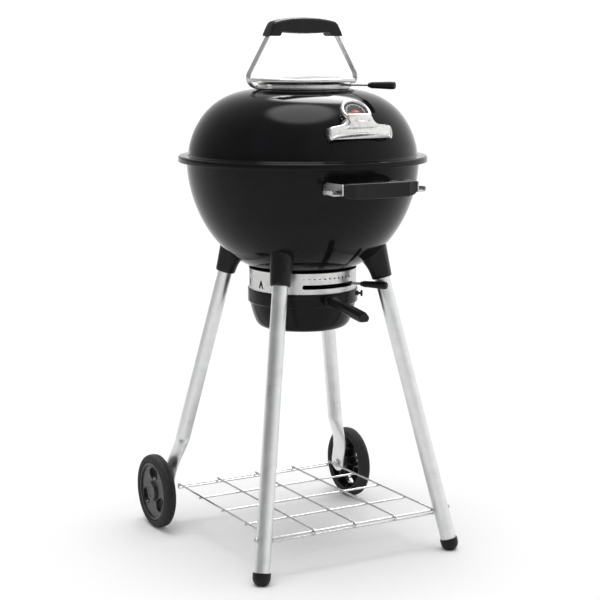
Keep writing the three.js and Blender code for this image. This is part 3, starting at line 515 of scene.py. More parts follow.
def grain(tree, size, stretch=(1, 1, 1), detail=4.0, around_axis=False):
    """Noise with lumps about size metres across, longer along the axes that stretch names."""
    place = node(tree, "TexCoord").outputs["Object"]
    if around_axis:
        parts = node(tree, "SeparateXYZ", {"Vector": place})
        flat = node(tree, "CombineXYZ", {"X": parts.outputs["X"], "Y": parts.outputs["Y"]})
        radius = node(tree, "VectorMath", {0: flat.outputs[0]}, operation="LENGTH")
        place = node(tree, "CombineXYZ", {
            "X": radius.outputs["Value"], "Z": parts.outputs["Z"],
        }).outputs[0]
    scale = [1 / (size * amount) for amount in stretch]
    mapped = node(tree, "Mapping", {"Vector": place, "Scale": scale})
    noise = node(tree, "TexNoise", {
        "Vector": mapped.outputs[0], "Scale": 1.0, "Detail": detail, "Roughness": 0.55,
    })
    return noise.outputs["Factor"] if "Factor" in noise.outputs else noise.outputs["Fac"]


def ranged(tree, value, low, high, start=0.3, end=0.7):
    return node(tree, "MapRange", {
        "Value": value, "From Min": start, "From Max": end, "To Min": low, "To Max": high,
    }).outputs["Result"]


def mixed(tree, amount, first, second):
    mix = node(tree, "Mix", data_type="RGBA")
    for socket, value in ((mix.inputs["Factor"], amount), (mix.inputs[6], first),
                          (mix.inputs[7], second)):
        if isinstance(value, bpy.types.NodeSocket):
            tree.links.new(value, socket)
        elif isinstance(value, float):
            socket.default_value = value
        else:
            socket.default_value = (*value, 1)
    return mix.outputs[2]


def surface(name, slot, colours, roughness, patch=0.03, grit=0.001, stretch=(1, 1, 1),
            around_axis=False, bump=0.1, bump_depth=0.0001, worn=None, wear=0.5, **sockets):
    """A procedural finish: broad colour patches, grainy roughness and bump, worn edges."""
    material = bpy.data.materials.new(name)
    material.use_nodes = True
    material["slot"] = slot
    tree = material.node_tree
    shader = tree.nodes["Principled BSDF"]
    broad = grain(tree, patch, detail=3.0)
    fine = grain(tree, grit, stretch, around_axis=around_axis)
    colour = mixed(tree, ranged(tree, broad, 0, 1), colours[0], colours[1])
    colour = mixed(tree, ranged(tree, fine, 0, 0.5), colour, colours[1])
    if worn:
        convex = node(tree, "NewGeometry").outputs["Pointiness"]
        edge = ranged(tree, convex, 0, 1, 0.51, 0.6)
        broken = ranged(tree, grain(tree, 0.006), 0, wear, 0.35, 0.65)
        amount = node(tree, "Math", {0: edge, 1: broken}, operation="MULTIPLY").outputs[0]
        colour = mixed(tree, amount, colour, worn)
    tree.links.new(colour, shader.inputs["Base Color"])
    uneven = node(tree, "Math", {0: broad, 1: fine}, operation="ADD").outputs[0]
    tree.links.new(ranged(tree, uneven, *roughness, 0.7, 1.3), shader.inputs["Roughness"])
    relief = node(tree, "Bump", {"Strength": bump, "Distance": bump_depth, "Height": fine})
    tree.links.new(relief.outputs[0], shader.inputs["Normal"])
    for key, value in sockets.items():
        shader.inputs[key.replace("_", " ")].default_value = value
    return material


def black_enamel():
    """Glossy porcelain enamel with the faint waviness of a fired coat."""
    return surface("black_enamel", "black_enamel", ((0.004, 0.004, 0.0045), (0.007, 0.007, 0.008)),
                   (0.07, 0.12), patch=0.05, grit=0.012, bump=0.05, bump_depth=0.0002,
                   worn=(0.02, 0.02, 0.021), wear=0.3, Specular_IOR_Level=0.12)


def spun_steel():
    """Stainless sheet brushed round the kettle's axis."""
    return surface("spun_steel", "stainless", ((0.5, 0.5, 0.5), (0.62, 0.62, 0.61)),
                   (0.24, 0.36), grit=0.0007, around_axis=True, bump=0.12,
                   worn=(0.85, 0.85, 0.84), Metallic=1.0, Anisotropic=0.3)


def drawn_steel():
    """Stainless strap brushed along its length."""
    return surface("drawn_steel", "stainless", ((0.42, 0.42, 0.42), (0.54, 0.54, 0.53)),
                   (0.26, 0.38), grit=0.0006, stretch=(60, 60, 1), bump=0.12,
                   worn=(0.85, 0.85, 0.84), Metallic=1.0)


def leg_aluminium():
    """Anodised tube with fine draw lines along it."""
    return surface("leg_aluminium", "leg_aluminium", ((0.64, 0.645, 0.65), (0.76, 0.765, 0.77)),
                   (0.26, 0.4), grit=0.0006, stretch=(1, 1, 80), bump=0.12,
                   worn=(0.85, 0.85, 0.86), Metallic=1.0)


def black_nylon():
    """Glass-filled nylon with a fine moulded grain."""
    return surface("black_nylon", "black_nylon", ((0.005, 0.005, 0.0055), (0.009, 0.009, 0.0095)),
                   (0.3, 0.44), patch=0.02, grit=0.0009, bump=0.18,
                   worn=(0.035, 0.035, 0.036), Specular_IOR_Level=0.22)


def hub_plastic():
    return surface("hub_plastic", "hub_plastic", ((0.008, 0.008, 0.0085), (0.014, 0.014, 0.0145)),
                   (0.22, 0.34), patch=0.02, grit=0.001, bump=0.15,
                   worn=(0.05, 0.05, 0.05), Specular_IOR_Level=0.3)


def tyre_rubber():
    return surface("tyre_rubber", "tyre_rubber", ((0.012, 0.012, 0.012), (0.024, 0.0235, 0.023)),
                   (0.6, 0.8), patch=0.012, grit=0.0012, bump=0.3,
                   worn=(0.06, 0.058, 0.055), Specular_IOR_Level=0.35)


def plated_wire():
    return surface("plated_wire", "plated_wire", ((0.42, 0.42, 0.43), (0.56, 0.56, 0.56)),
                   (0.16, 0.28), patch=0.015, grit=0.001, bump=0.08,
                   worn=(0.9, 0.9, 0.9), Metallic=1.0)


def cast_badge():
    return surface("cast_badge", "cast_badge", ((0.62, 0.62, 0.62), (0.8, 0.8, 0.79)),
                   (0.16, 0.3), patch=0.008, grit=0.0009, stretch=(20, 1, 1), bump=0.12,
                   worn=(0.92, 0.92, 0.9), Metallic=1.0)


def dial_face():
    return surface("dial_face", "dial_face", ((0.004, 0.004, 0.004), (0.008, 0.008, 0.008)),
                   (0.35, 0.5), patch=0.005, grit=0.0006, bump=0.05, Specular_IOR_Level=0.2)


def dial_print():
    return surface("dial_print", "dial_face", ((0.7, 0.7, 0.68), (0.8, 0.8, 0.78)),
                   (0.4, 0.5), patch=0.004, grit=0.0006, bump=0.05)


def dial_red():
    return surface("dial_red", "needle_red", ((0.28, 0.02, 0.015), (0.4, 0.035, 0.025)),
                   (0.3, 0.45), patch=0.004, grit=0.0006, bump=0.05)


def needle_pink():
    return surface("needle_pink", "needle_red", ((0.5, 0.09, 0.08), (0.62, 0.16, 0.14)),
                   (0.3, 0.45), patch=0.004, grit=0.0006, bump=0.05)


def gasket_black():
    return surface("gasket_black", "black_nylon", ((0.006, 0.006, 0.006), (0.012, 0.012, 0.012)),
                   (0.5, 0.7), patch=0.01, grit=0.001, bump=0.15)


def clear_lens():
    return surface("clear_lens", "clear_lens", ((0.9, 0.9, 0.9), (1, 1, 1)), (0.02, 0.05),
                   grit=0.004, bump=0.01, Alpha=0.04)


ENAMEL = black_enamel()
SPUN = spun_steel()
DRAWN = drawn_steel()
ALUMINIUM = leg_aluminium()
NYLON = black_nylon()
HUB = hub_plastic()
RUBBER = tyre_rubber()
WIRE = plated_wire()
BADGE = cast_badge()
DIAL = dial_face()
PRINT = dial_print()
RED = dial_red()
NEEDLE = needle_pink()
GASKET = gasket_black()
LENS = clear_lens()


# ----------------------------------------------------------------------- lid and bowl

def kettle_curve(radius, base, height, flatness, crown, steps=56, marks=()):
    """A shell's outer curve from its pole to its rim, with points at the marked radii."""
    turns = [math.pi / 2 * (1 - (1 - i / steps) ** 2) for i in range(steps + 1)]
    turns += [math.acos((mark / radius) ** (flatness / 2)) for mark in marks]
    points = [
        (0.0 if turn > 1.57079 else radius * math.cos(turn) ** (2 / flatness),
         base + height * math.sin(turn) ** (2 / crown))
        for turn in sorted(turns, reverse=True)
    ]
    return points


def lid_curve(marks=()):
    return kettle_curve(LID_RADIUS, RIM_TOP, LID_TOP - RIM_TOP, LID_FLATNESS, LID_CROWN,
                        marks=marks)


def bowl_curve(marks=()):
    return kettle_curve(BOWL_RADIUS, RIM_BOTTOM, BOWL_FLOOR - RIM_BOTTOM, BOWL_FLATNESS,
                        BOWL_CROWN, marks=marks)


def lid_space():
    """The room the lid fills, a little oversize."""
    curve = [(r * 1.003 + 0.05 if r else 0.0, z + 0.4) for r, z in lid_curve()]
    return revolved([*curve, (LID_RADIUS + 0.8, RIM_TOP - 60), (0, RIM_TOP - 60)], 120)


def bowl_space():
    curve = [(r * 1.002 + 0.05 if r else 0.0, z - 0.4) for r, z in bowl_curve()]
    return revolved([*curve, (BOWL_RADIUS + 0.6, RIM_BOTTOM + 40), (0, RIM_BOTTOM + 40)], 120)


def in_sectors(angle, middles, half):
    return any(abs((angle - middle + 180) % 360 - 180) < half for middle in middles)


VENT_HOLES = (0, 90, 180, 270)
VENT_HOLE_RADII = (16, 74)
AIR_HOLES = (0, 120, 240)
AIR_HOLE_RADII = (30, 84)


def lid_shell():
    """Pressed dome, a flat ledge, and a short skirt that leans out over the bowl's bead."""
    curve = [point for point in lid_curve(VENT_HOLE_RADII) if point[1] > RIM_TOP + 7]
    rim = rounded([
        (*curve[-1], 0), (LID_RADIUS + 0.1, RIM_TOP, 5), (RIM_RADIUS - 0.6, RIM_TOP - 0.6, 4.5),
        (RIM_RADIUS - 0.1, RIM_BOTTOM + 1.4, 0.9), (RIM_RADIUS - 2.5, RIM_BOTTOM + 1.0, 0),
    ], steps=7, closed=False)
    profile = [*curve, *rim[1:]]

    def is_hole(radius, angle, height):
        inside = VENT_HOLE_RADII[0] < radius < VENT_HOLE_RADII[1]
        return height > RIM_TOP + 50 and inside and in_sectors(angle, VENT_HOLES, 22)

    add("lid_enamel_shell", shell(profile, SHEET, is_hole=is_hole), ENAMEL, ["lid_shell"])


def bowl():
    """Pressed bowl with a rolled bead that the lid's skirt covers."""
    curve = [point for point in bowl_curve(AIR_HOLE_RADII) if point[1] < RIM_BOTTOM - 4]
    bead = RIM_RADIUS - 5.2
    rim = rounded([
        (*curve[-1], 0), (BOWL_RADIUS, RIM_BOTTOM + 0.6, 3), (bead, RIM_BOTTOM + 0.8, 2.4),
        (bead, RIM_BOTTOM + 5.0, 2.2), (BOWL_RADIUS + 5, RIM_BOTTOM + 5.0, 0),
    ], steps=6, closed=False)
    profile = [*curve, *rim[1:]]

    def is_hole(radius, angle, height):
        inside = AIR_HOLE_RADII[0] < radius < AIR_HOLE_RADII[1]
        return height < BOWL_FLOOR + 60 and inside and in_sectors(angle, AIR_HOLES, 25)

    add("bowl_enamel_shell", shell(profile, -SHEET, is_hole=is_hole), ENAMEL, ["bowl"])


GRATE_SUPPORTS = (60, 180, 300)
SUPPORT_TOP = COOKING_LOW.z - 0.4


def grate_supports():
    """Bent brackets spot-welded inside the bowl."""
    for number, angle in enumerate(GRATE_SUPPORTS, 1):
        reach = BOWL_RADIUS - SHEET - 0.8
        line = rounded([
            (0, -(reach - 19), SUPPORT_TOP - 1, 0), (0, -reach + 1, SUPPORT_TOP - 1, 4),
            (0, -reach + 1.6, SUPPORT_TOP - 19, 0),
        ], closed=False)
        strip = swept(line, rounded_box(9, -1, 1, 0.5), (0, 0.6, 0.8))
        add(f"grate_bracket_{number}", turned(strip, angle), DRAWN,
            [f"grate_support_{number}"], bevel=0.3)


# --------------------------------------------------------------------- bowl handle

HANDLE_FRONT = HANDLE_LOW.y - KETTLE_Y
HANDLE_BACK = HANDLE_HIGH.y - KETTLE_Y
HANDLE_HALF = HANDLE_HIGH.x
HANDLE_TOP = HANDLE_HIGH.z
HANDLE_BOTTOM = HANDLE_LOW.z
BAR_Y = (HANDLE_FRONT + HANDLE_BACK) / 2
ARM_X = HANDLE_HALF + 2.4
ARM_LOW = HANDLE_BOTTOM + 7.5
ARM_HIGH = HANDLE_TOP - 1.2
GRIP_CUT = 7.0
ARM_FRONT = HANDLE_FRONT + GRIP_CUT + 0.6
HOOK_REACH = 102.4
HOOK_BACK = -258


def arm_outline(length):
    """A strap end in the flat: the arm and the flange that is riveted to the bowl."""
    bend = length - 27
    return rounded([
        (0, ARM_LOW, 2), (38, ARM_LOW, 2), (42, ARM_LOW + 3, 4), (bend - 14, ARM_LOW + 3, 4),
        (bend - 8, ARM_LOW + 2, 3), (length, ARM_LOW + 2, 7), (length, ARM_HIGH - 4, 7),
        (bend - 8, ARM_HIGH - 4, 3), (bend - 14, ARM_HIGH, 3), (0, ARM_HIGH, 2),
    ])


def bowl_handle_bracket():
    wall = -math.sqrt((BOWL_RADIUS + 1.6) ** 2 - 70 ** 2)
    plan = rounded([
        (ARM_X, ARM_FRONT, 0), (ARM_X, wall + 3.5, 8), (ARM_X - 27, wall - 5.4, 0),
    ], steps=8, closed=False)
    length = sum((b - a).length for a, b in zip(plan, plan[1:]))
    hook_front = HOOK_BACK - 31
    hook_middle = (HOOK_BACK + hook_front) / 2
    start, end = hook_front + 1 - ARM_FRONT, HOOK_BACK - 1 - ARM_FRONT
    window = [(start, ARM_LOW + 5), (end, ARM_LOW + 5), (end, ARM_LOW + 8.8), (start, ARM_LOW + 8.8)]
    parts = []
    for side in SIDES.values():
        flat = plate(arm_outline(length), [window], thickness=2.6, pitch=4)
        arm = folded(shifted(flat, z=-1.3), plan)
        tab = rounded([
            (ARM_X - 0.8, hook_middle, ARM_LOW + 1.3, 0), (HOOK_REACH, hook_middle, ARM_LOW + 1.3, 3),
            (HOOK_REACH, hook_middle, ARM_LOW + 9.5, 0),
        ], closed=False)
        hook = swept(tab, rounded_box(15.5, -1.3, 1.3, 0.6), (1, 0, 1))
        rivet = revolved([(0, 0), (4.6, 0), (4.3, 1.3), (3.0, 2.4), (0, 2.9)], 24)
        seat = Vector((ARM_X - 20, wall - 4.2, (ARM_LOW + ARM_HIGH) / 2))
        moved(rivet, facing(seat, (0.3, -1, 0), (0, 0, 1)))
        half = together(arm, hook, rivet)
        parts.append(half if side > 0 else mirrored(half))
    bar = block((-HANDLE_HALF, HANDLE_HALF), (BAR_Y - 1.3, BAR_Y + 1.3),
                (ARM_LOW + 4, ARM_HIGH - 5), 0.5)
    add("bowl_handle_strap", together(*parts, bar), DRAWN, ["bowl_handle_bracket"], bevel=0.5)


def bowl_handle_grip():
    """A moulded bar with slanted ends, a lip along its top and a bowed underside."""
    reach = HANDLE_HALF
    # (distance from the middle, how far the front is cut back, the top lowered, the bottom raised)
    stations = [(reach, GRIP_CUT + 1.5, 5.0, 9.0), (reach - 0.6, GRIP_CUT, 3.2, 6.5),
                (reach - 2.2, GRIP_CUT - 0.3, 1.6, 4.4), (reach - 5, GRIP_CUT * 0.82, 0.5, 2.4),
                (reach - 8, GRIP_CUT * 0.67, 0, 1.2), (reach - 14, GRIP_CUT * 0.36, 0, 0.5),
                (reach - 20.6, 0.4, 0, 0.2), (reach - 21.4, 0, 0, 0)]
    stations += [(reach - 22 - step * 6, 0, 0, 0) for step in range(int((reach - 22) / 6) + 1)]
    rings = []
    for side in (-1, 1):
        for place, cut, drop, lift in stations[::-side]:
            share = place / reach
            low = HANDLE_BOTTOM + lift + 2.2 * share * share
            high = HANDLE_TOP - drop - 0.4
            front = HANDLE_FRONT + cut
            back = HANDLE_BACK - drop * 0.3
            outline = rounded([
                (front + 0.9, low + 0.4, 1.2), (front + 6, low - 0.3, 3), (back, low, 4),
                (back, high - 1, 4), (back - 6, high, 2), (front + 1.6, high, 1.4),
                (front + 0.2, high - 1.6, 1.0), (front + 0.9, high - 3.4, 1.0),
                (front + 0.5, low + 4.2, 1.6), (front, low + 2.6, 1.0),
            ], steps=3)
            rings.append([Vector((side * place, *point)) for point in outline])
    add("bowl_handle_moulding", loft(rings), NYLON, ["bowl_handle_grip"], crease=30)


# ------------------------------------------------------------------------- legs

def sided(place, side):
    return Vector((place.x * side, place.y, place.z))


def front_up(side):
    return (sided(FRONT_SOCKET, side) - sided(FRONT_FOOT, side)).normalized()


def rear_up(side):
    return (sided(REAR_SOCKET, side) - sided(REAR_CRIMP, side)).normalized()


def seamed_circle(radius, sides=48):
    """A tube's outline with the shallow groove of its weld seam."""
    return [
        (radius - (0.35 if i == 0 else 0)) * Vector((math.cos(turn), math.sin(turn)))
        for i, turn in ((i, 2 * math.pi * i / sides) for i in range(sides))
    ]


def front_leg(side):
    foot = sided(FRONT_FOOT, side)
    up = front_up(side)
    length = (sided(FRONT_SOCKET, side) - foot).length + LEG_TOP_RUN - 8
    levels = [(14, 0), (15.1, 0), (LEG_RADIUS, 0.5)]
    levels += [(LEG_RADIUS, length * i / 24) for i in range(1, 24)]
    levels += [(LEG_RADIUS, length - 0.5), (15.1, length), (14, length), (14, length / 2)]
    rings = [[(*point, height) for point in seamed_circle(radius)] for radius, height in levels]
    return loft(rings, looped=True), facing(foot + up * 8, up, (-side, 0.4, 0))


def foot_cap(side):
    """A moulded cap, a little domed and flat where it stands."""
    profile = rounded([
        (0, -1.6, 0), (7, -1.0, 3), (12.6, 2.4, 4), (16.4, 8.2, 5), (17.8, 14, 4),
        (17.7, 24.2, 1.2), (16.2, 24.6, 0.6), (15.8, 9, 1), (0, 8, 0),
    ], closed=False)
    cap = revolved(profile, 56)
    moved(cap, facing(sided(FRONT_FOOT, side), front_up(side), (1, 0, 0)))
    faces = [*cap.verts, *cap.edges, *cap.faces]
    bmesh.ops.bisect_plane(cap, geom=faces, plane_co=(0, 0, 0.02), plane_no=(0, 0, -1),
                           clear_outer=True)
    rim = [edge for edge in cap.edges if edge.is_boundary]
    bmesh.ops.contextual_create(cap, geom=rim)
    return tidied(cap)


def blended(first, last, share):
    return tuple(a + (b - a) * share for a, b in zip(first, last))


def rear_leg(side):
    """A tube whose lower end is pressed flat into an upright tongue round the axle."""
    crimp = sided(REAR_CRIMP, side)
    mouth = sided(REAR_SOCKET, side)
    up = rear_up(side)
    rings = []
    top = mouth + up * LEG_TOP_RUN
    steps = 22
    for i in range(steps + 1):
        centre = top.lerp(crimp + up * 6, i / steps)
        rings.append(tuple(centre) + (LEG_RADIUS, LEG_RADIUS, 2.0))
    thin = TONGUE_THICKNESS / 2
    # (x, y, z, half thickness, half width, squareness) down to the tongue
    keys = [
        (186.8, 183, 192.2, 15.2, 15.6, 2.0), (188.6, 183.6, 186, 13.4, 17.4, 2.3),
        (194.5, 187.5, 168, 9.6, 20.4, 2.6), (201.5, 192, 150, 5.8, 23.2, 3.0),
        (206.5, 196.6, 132, 3.2, 24.6, 4.0), (209.4, 200.5, 117, 2.2, 25.0, 6.0),
        (TONGUE_X, 203, 108, thin, 25.0, 7.0), (TONGUE_X, AXLE_Y - 0.4, 86, thin, 24.8, 7.0),
        (TONGUE_X, AXLE_Y, TONGUE_END, thin, 24.5, 7.0),
    ]
    for first, last in zip(keys, keys[1:]):
        for step in range(4):
            x, *rest = blended(first, last, step / 4)
            rings.append((x * side, *rest))
    for i in range(11):
        angle = math.radians(84) * i / 10
        rings.append((TONGUE_X * side, AXLE_Y, TONGUE_END - 19.5 * math.sin(angle), thin,
                      24.5 * math.cos(angle), 7.0))
    skins = []
    for x, y, z, thick, wide, square in rings:
        outline = []
        for i in range(40):
            turn = 2 * math.pi * i / 40
            c, s = math.cos(turn), math.sin(turn)
            power = 2 / square
            outline.append(Vector((
                x + thick * math.copysign(abs(c) ** power, c),
                y + wide * math.copysign(abs(s) ** power, s), z)))
        skins.append(outline)
    return loft(skins)


def leg_socket(bottom, up):
    """A soft square cup whose inner side flares into a gusset under the bowl."""
    inward = Vector((-bottom.x, -bottom.y, 0)).normalized()
    inward = (inward - up * inward.dot(up)).normalized()
    across = up.cross(inward)

    def ring(distance, outer, reach, half, taper):
        points = []
        for i in range(56):
            turn = 2 * math.pi * i / 56
            c, s = math.cos(turn), math.sin(turn)
            along = math.copysign(abs(c) ** 0.8, c) * (reach if c > 0 else outer)
            side = math.copysign(abs(s) ** 0.8, s) * half * (1 - taper * max(0, c) ** 1.5)
            points.append(bottom + up * distance + inward * along + across * side)
        return points

    rings = [ring(26, 16, 16, 16, 0), ring(0.8, 16.2, 16.2, 16.2, 0), ring(0, 17, 17, 17, 0),
             ring(0.2, 18.6, 18.6, 18.4, 0), ring(1.6, 19.6, 19.8, 19.2, 0)]
    for i in range(1, 15):
        share = i / 14
        rings.append(ring(2 + 96 * share, 19.6 + 6.4 * share, 20 + 62 * share ** 1.9,
                          19.2 + 5.8 * share, 0.6 * share))
    return shaped(loft(rings), bowl_space())


def legs():
    for name, side in SIDES.items():
        tube_mesh, pose = front_leg(side)
        add(f"front_leg_tube_{name}", tube_mesh, ALUMINIUM, [f"front_leg_{name}"], pose=pose)
        add(f"front_foot_{name}", foot_cap(side), NYLON, [f"front_foot_cap_{name}"])
        leg = rear_leg(side)
        pose = facing(sided(REAR_CRIMP, side), rear_up(side), (side, 0, 0))
        moved(leg, pose.inverted())
        add(f"rear_leg_tube_{name}", leg, ALUMINIUM, [f"rear_leg_{name}"], pose=pose)
        for end, place, up in (("front", FRONT_SOCKET, front_up(side)),
                               ("rear", REAR_SOCKET, rear_up(side))):
            add(f"socket_moulding_{end}_{name}", leg_socket(sided(place, side), up), NYLON,
                [f"leg_socket_{end}_{name}"])


# ------------------------------------------------------------------------- wheels

TREAD_BLOCKS = 66
TREAD_DEPTH = 1.3
HUB_RADIUS = 62
HUB_TURNS = (0, 120, 240)
HUB_OPENING = ((24, -8, 5), (33, -18.5, 5), (46, -17, 5), (52, -4, 7), (49, 9, 6), (40, 15, 6),
               (31, 9, 5), (27, 0, 4))


def tyre():
    """A rubber tyre: stepped sidewalls and a crown cut with chevron grooves."""
    half = WHEEL_HALF
    side = rounded([
        (62.4, half - 2.5, 0), (63.5, half - 0.6, 1.2), (66.5, half - 0.1, 1),
        (67.4, half - 1.2, 0.5), (70.5, half - 1.0, 0.6), (71.3, half - 0.3, 0.6),
        (73.6, half - 1.4, 2), (75.9, half - 4, 1.5),
    ], steps=3, closed=False)[:-1]
    crown_half = half - 3.6
    steps = 22
    segments = TREAD_BLOCKS * 6
    rings = []
    for i in range(segments):
        angle = 360 * i / segments
        ring = [around(radius, angle, height) for radius, height in side]
        for step in range(steps + 1):
            height = crown_half * (1 - 2 * step / steps)
            share = abs(height) / crown_half
            phase = (angle * TREAD_BLOCKS / 360 + 1.6 * share) % 1
            is_groove = phase < 0.34 and 0.06 < share < 0.96 or share < 0.045
            radius = WHEEL_RADIUS - 1.9 * share ** 2.4 - (TREAD_DEPTH if is_groove else 0)
            ring.append(around(radius, angle, height))
        ring += [around(radius, angle, -height) for radius, height in reversed(side)]
        rings.append(ring)
    return loft(rings, looped=True)


def opening_outline(turn, grow=0.0):
    """One of the hub's openings, turned to its place and widened by a margin."""
    points = rounded(HUB_OPENING, steps=6)
    middle = sum(points, Vector((0, 0))) / len(points)
    spin = Matrix.Rotation(math.radians(turn), 2)
    return [spin @ (point + (point - middle).normalized() * grow) for point in points]


def wheel_hub():
    """A dished plastic disc with three swept openings, each with a raised lip."""
    half = WHEEL_HALF
    rim = revolved(rounded([
        (55, half - 7, 1), (55, half - 3.5, 1.5), (57.5, half - 1.8, 1), (60.5, half - 1.6, 1),
        (HUB_RADIUS, half - 2.6, 0.8), (HUB_RADIUS, 2 - half, 0.8), (59.5, 2 - half, 0.8),
        (58.5, half - 7, 1),
    ]), 120)
    boss = revolved(rounded([
        (5.4, 1 - half, 0.5), (15, 1 - half, 1.5), (17, half - 8, 2), (23, half - 7.5, 1),
        (22, half - 3.2, 1.5), (20.4, half - 1.4, 1), (5.4, half - 1.4, 0.5),
    ]), 72)
    holes, lips = [], []
    for turn in HUB_TURNS:
        holes.append(opening_outline(turn))
        loops = []
        for grow, height in ((0, half - 10), (0, half - 4.2), (0.5, half - 3.6), (1.6, half - 3.6),
                             (2.1, half - 4.2), (2.1, half - 10)):
            loops.append([(*point, height) for point in opening_outline(turn, grow)])
        lips.append(loft(loops, looped=True))
    bore = [Vector(point) * 20 / 15 for point in circle(15, 48)]
    web = plate([Vector(point) for point in circle(57.5, 96)], [bore, *holes], 3.0)
    shifted(web, z=half - 8)
    ribs = []
    for turn in range(30, 390, 40):
        rib = block((16, 56.5), (-0.9, 0.9), (1.5 - half, half - 7.5), 0.3)
        ribs.append(turned(rib, turn))
    hoop_rib = revolved([(37, 4 - half), (38.6, 4 - half), (38.6, half - 7.5),
                         (37, half - 7.5)], 72)
    skeleton = together(*ribs, hoop_rib)
    for turn in HUB_TURNS:
        loops = [[(*point, height) for point in opening_outline(turn, 0.4)]
                 for height in (-half - 2, half + 2)]
        skeleton = shaped(skeleton, loft(loops))
    return together(rim, boss, web, skeleton, *lips)


def hub_cap():
    seat = WHEEL_HALF - 1.2
    return revolved(rounded([
        (0, seat, 0), (19.6, seat, 0.3), (19.6, seat + 0.7, 0.6), (18.2, seat + 1.5, 0.8),
        (12.5, seat + 1.6, 0.6), (11.6, seat + 1.1, 0.4), (0, seat + 1.3, 0),
    ], steps=3), 72)


def hexagon(radius, low, high):
    """A nut or bolt head with its corners chamfered."""
    rings = []
    for size, height in ((radius * 0.93, low), (radius, low + 0.8), (radius, high - 0.8),
                         (radius * 0.93, high)):
        rings.append([(*point, height) for point in circle(size, 6)])
    return loft(rings)


def axle_bolt():
    """A shoulder bolt through the leg's tongue, a spacer, and a nut on a washer."""
    tongue = TONGUE_X - WHEEL_MIDDLE
    shaft = revolved([(0, tongue - 9), (4.2, tongue - 9), (5, tongue - 8), (5, WHEEL_HALF - 2),
                      (0, WHEEL_HALF - 2)], 32)
    washer = revolved([(5, tongue - 3.6), (9.5, tongue - 3.6), (9.8, tongue - 3.2),
                       (9.8, tongue - 2.4), (5, tongue - 2.4)], 40)
    spacer = revolved([(5, tongue + 2.4), (8, tongue + 2.4), (8.5, tongue + 3),
                       (8.5, -WHEEL_HALF + 0.4), (5, -WHEEL_HALF + 0.4)], 40)
    return together(shaft, washer, spacer, hexagon(8.5, tongue - 8.4, tongue - 3.6))


def wheels():
    for name, side in SIDES.items():
        axle = facing(Vector((WHEEL_MIDDLE * side, AXLE_Y, AXLE_Z)), (side, 0, 0), (0, 0, -side))
        add(f"tyre_rubber_{name}", tyre(), RUBBER, [f"tyre_{name}"], crease=40, pose=axle)
        add(f"hub_disc_{name}", wheel_hub(), HUB, [f"wheel_hub_{name}"], pose=axle)
        add(f"hub_centre_cap_{name}", hub_cap(), HUB, [f"hub_cap_{name}"], pose=axle)
        add(f"axle_fastener_{name}", axle_bolt(), WIRE, [f"axle_bolt_{name}"], pose=axle)


# -------------------------------------------------------------------------- shelf

SHELF_WIRES = 5
SHELF_HALF_WIDTH = 185
WIRE_RADIUS = 2.0


def wire_shelf():
    """Welded rods: five bent down at both ends, five beneath across them, two end rails."""
    top = SHELF_HIGH.z - WIRE_RADIUS
    rail = SHELF_LOW.z + WIRE_RADIUS
    end = SHELF_HALF_LENGTH - WIRE_RADIUS - 0.4
    wires = []
    for i in range(SHELF_WIRES):
        share = 2 * i / (SHELF_WIRES - 1) - 1
        x = share * SHELF_HALF_WIDTH
        line = rounded([(x, -end, rail - 0.5, 0), (x, -end, top, 5), (x, end, top, 5),
                        (x, end, rail - 0.5, 0)], closed=False)
        wires.append(tube(line, WIRE_RADIUS, up=(1, 0, 0), sides=14, chamfer=0.4))
        y = share * (SHELF_HALF_LENGTH - 9)
        reach = SHELF_HALF_WIDTH + (1 if abs(share) == 1 else 4)
        low = top - 1.7 * WIRE_RADIUS
        wires.append(tube([(-reach, y, low), (reach, y, low)], WIRE_RADIUS, chamfer=0.4))
    for y in (-end + 3.2, end - 3.2):
        reach = SHELF_HALF_WIDTH + 1
        wires.append(tube([(-reach, y, rail + 0.6), (reach, y, rail + 0.6)], WIRE_RADIUS,
                          chamfer=0.4))
    add("shelf_wires", together(*wires), WIRE, ["wire_shelf"])


def dome_head(radius, height):
    """A round bolt head on a thin flange, with a cross recess."""
    head = revolved(rounded([
        (0, 0, 0), (radius, 0, 0.2), (radius, 0.8, 0.3), (radius * 0.82, 1.0, 0.2),
        (radius * 0.74, height * 0.7, 1.2), (radius * 0.45, height, 1), (0, height, 0),
    ], steps=3), 40)
    for way in (0, 90):
        slot = turned(block((-radius * 0.4, radius * 0.4), (-0.55, 0.55),
                            (height - 1.4, height + 2), 0.1), way)
        head = shaped(head, slot)
    return head


def shelf_bolts():
    for name, side in SIDES.items():
        low, high = span(f"shelf_bolt_{name}")
        seat = low if side > 0 else high
        middle = (low + high) / 2
        place = Vector((seat.x - 1.6 * side, middle.y - KETTLE_Y, middle.z))
        add(f"shelf_bolt_head_{name}", dome_head(5, 4.6), WIRE, [f"shelf_bolt_{name}"],
            pose=facing(place, (side, 0, 0.15), (0, 0, 1)))


# -------------------------------------------------------------- ash ring and its sweep

SLOT_FROM = -29.5
SLOT_TO = 36
CHEVRONS = (-78, -103)
MARK_COUNT = 11
MARK_HEIGHT = 557
SLOT_HALF = 4.5


def arc_length(angle):
    return ASH_RING_RADIUS * math.radians(angle)


def slot_outline(start, end, low, high):
    radius = (high - low) / 2
    return rounded([
        (start, low, radius), (end, low, radius), (end, high, radius), (start, high, radius),
    ], steps=7)


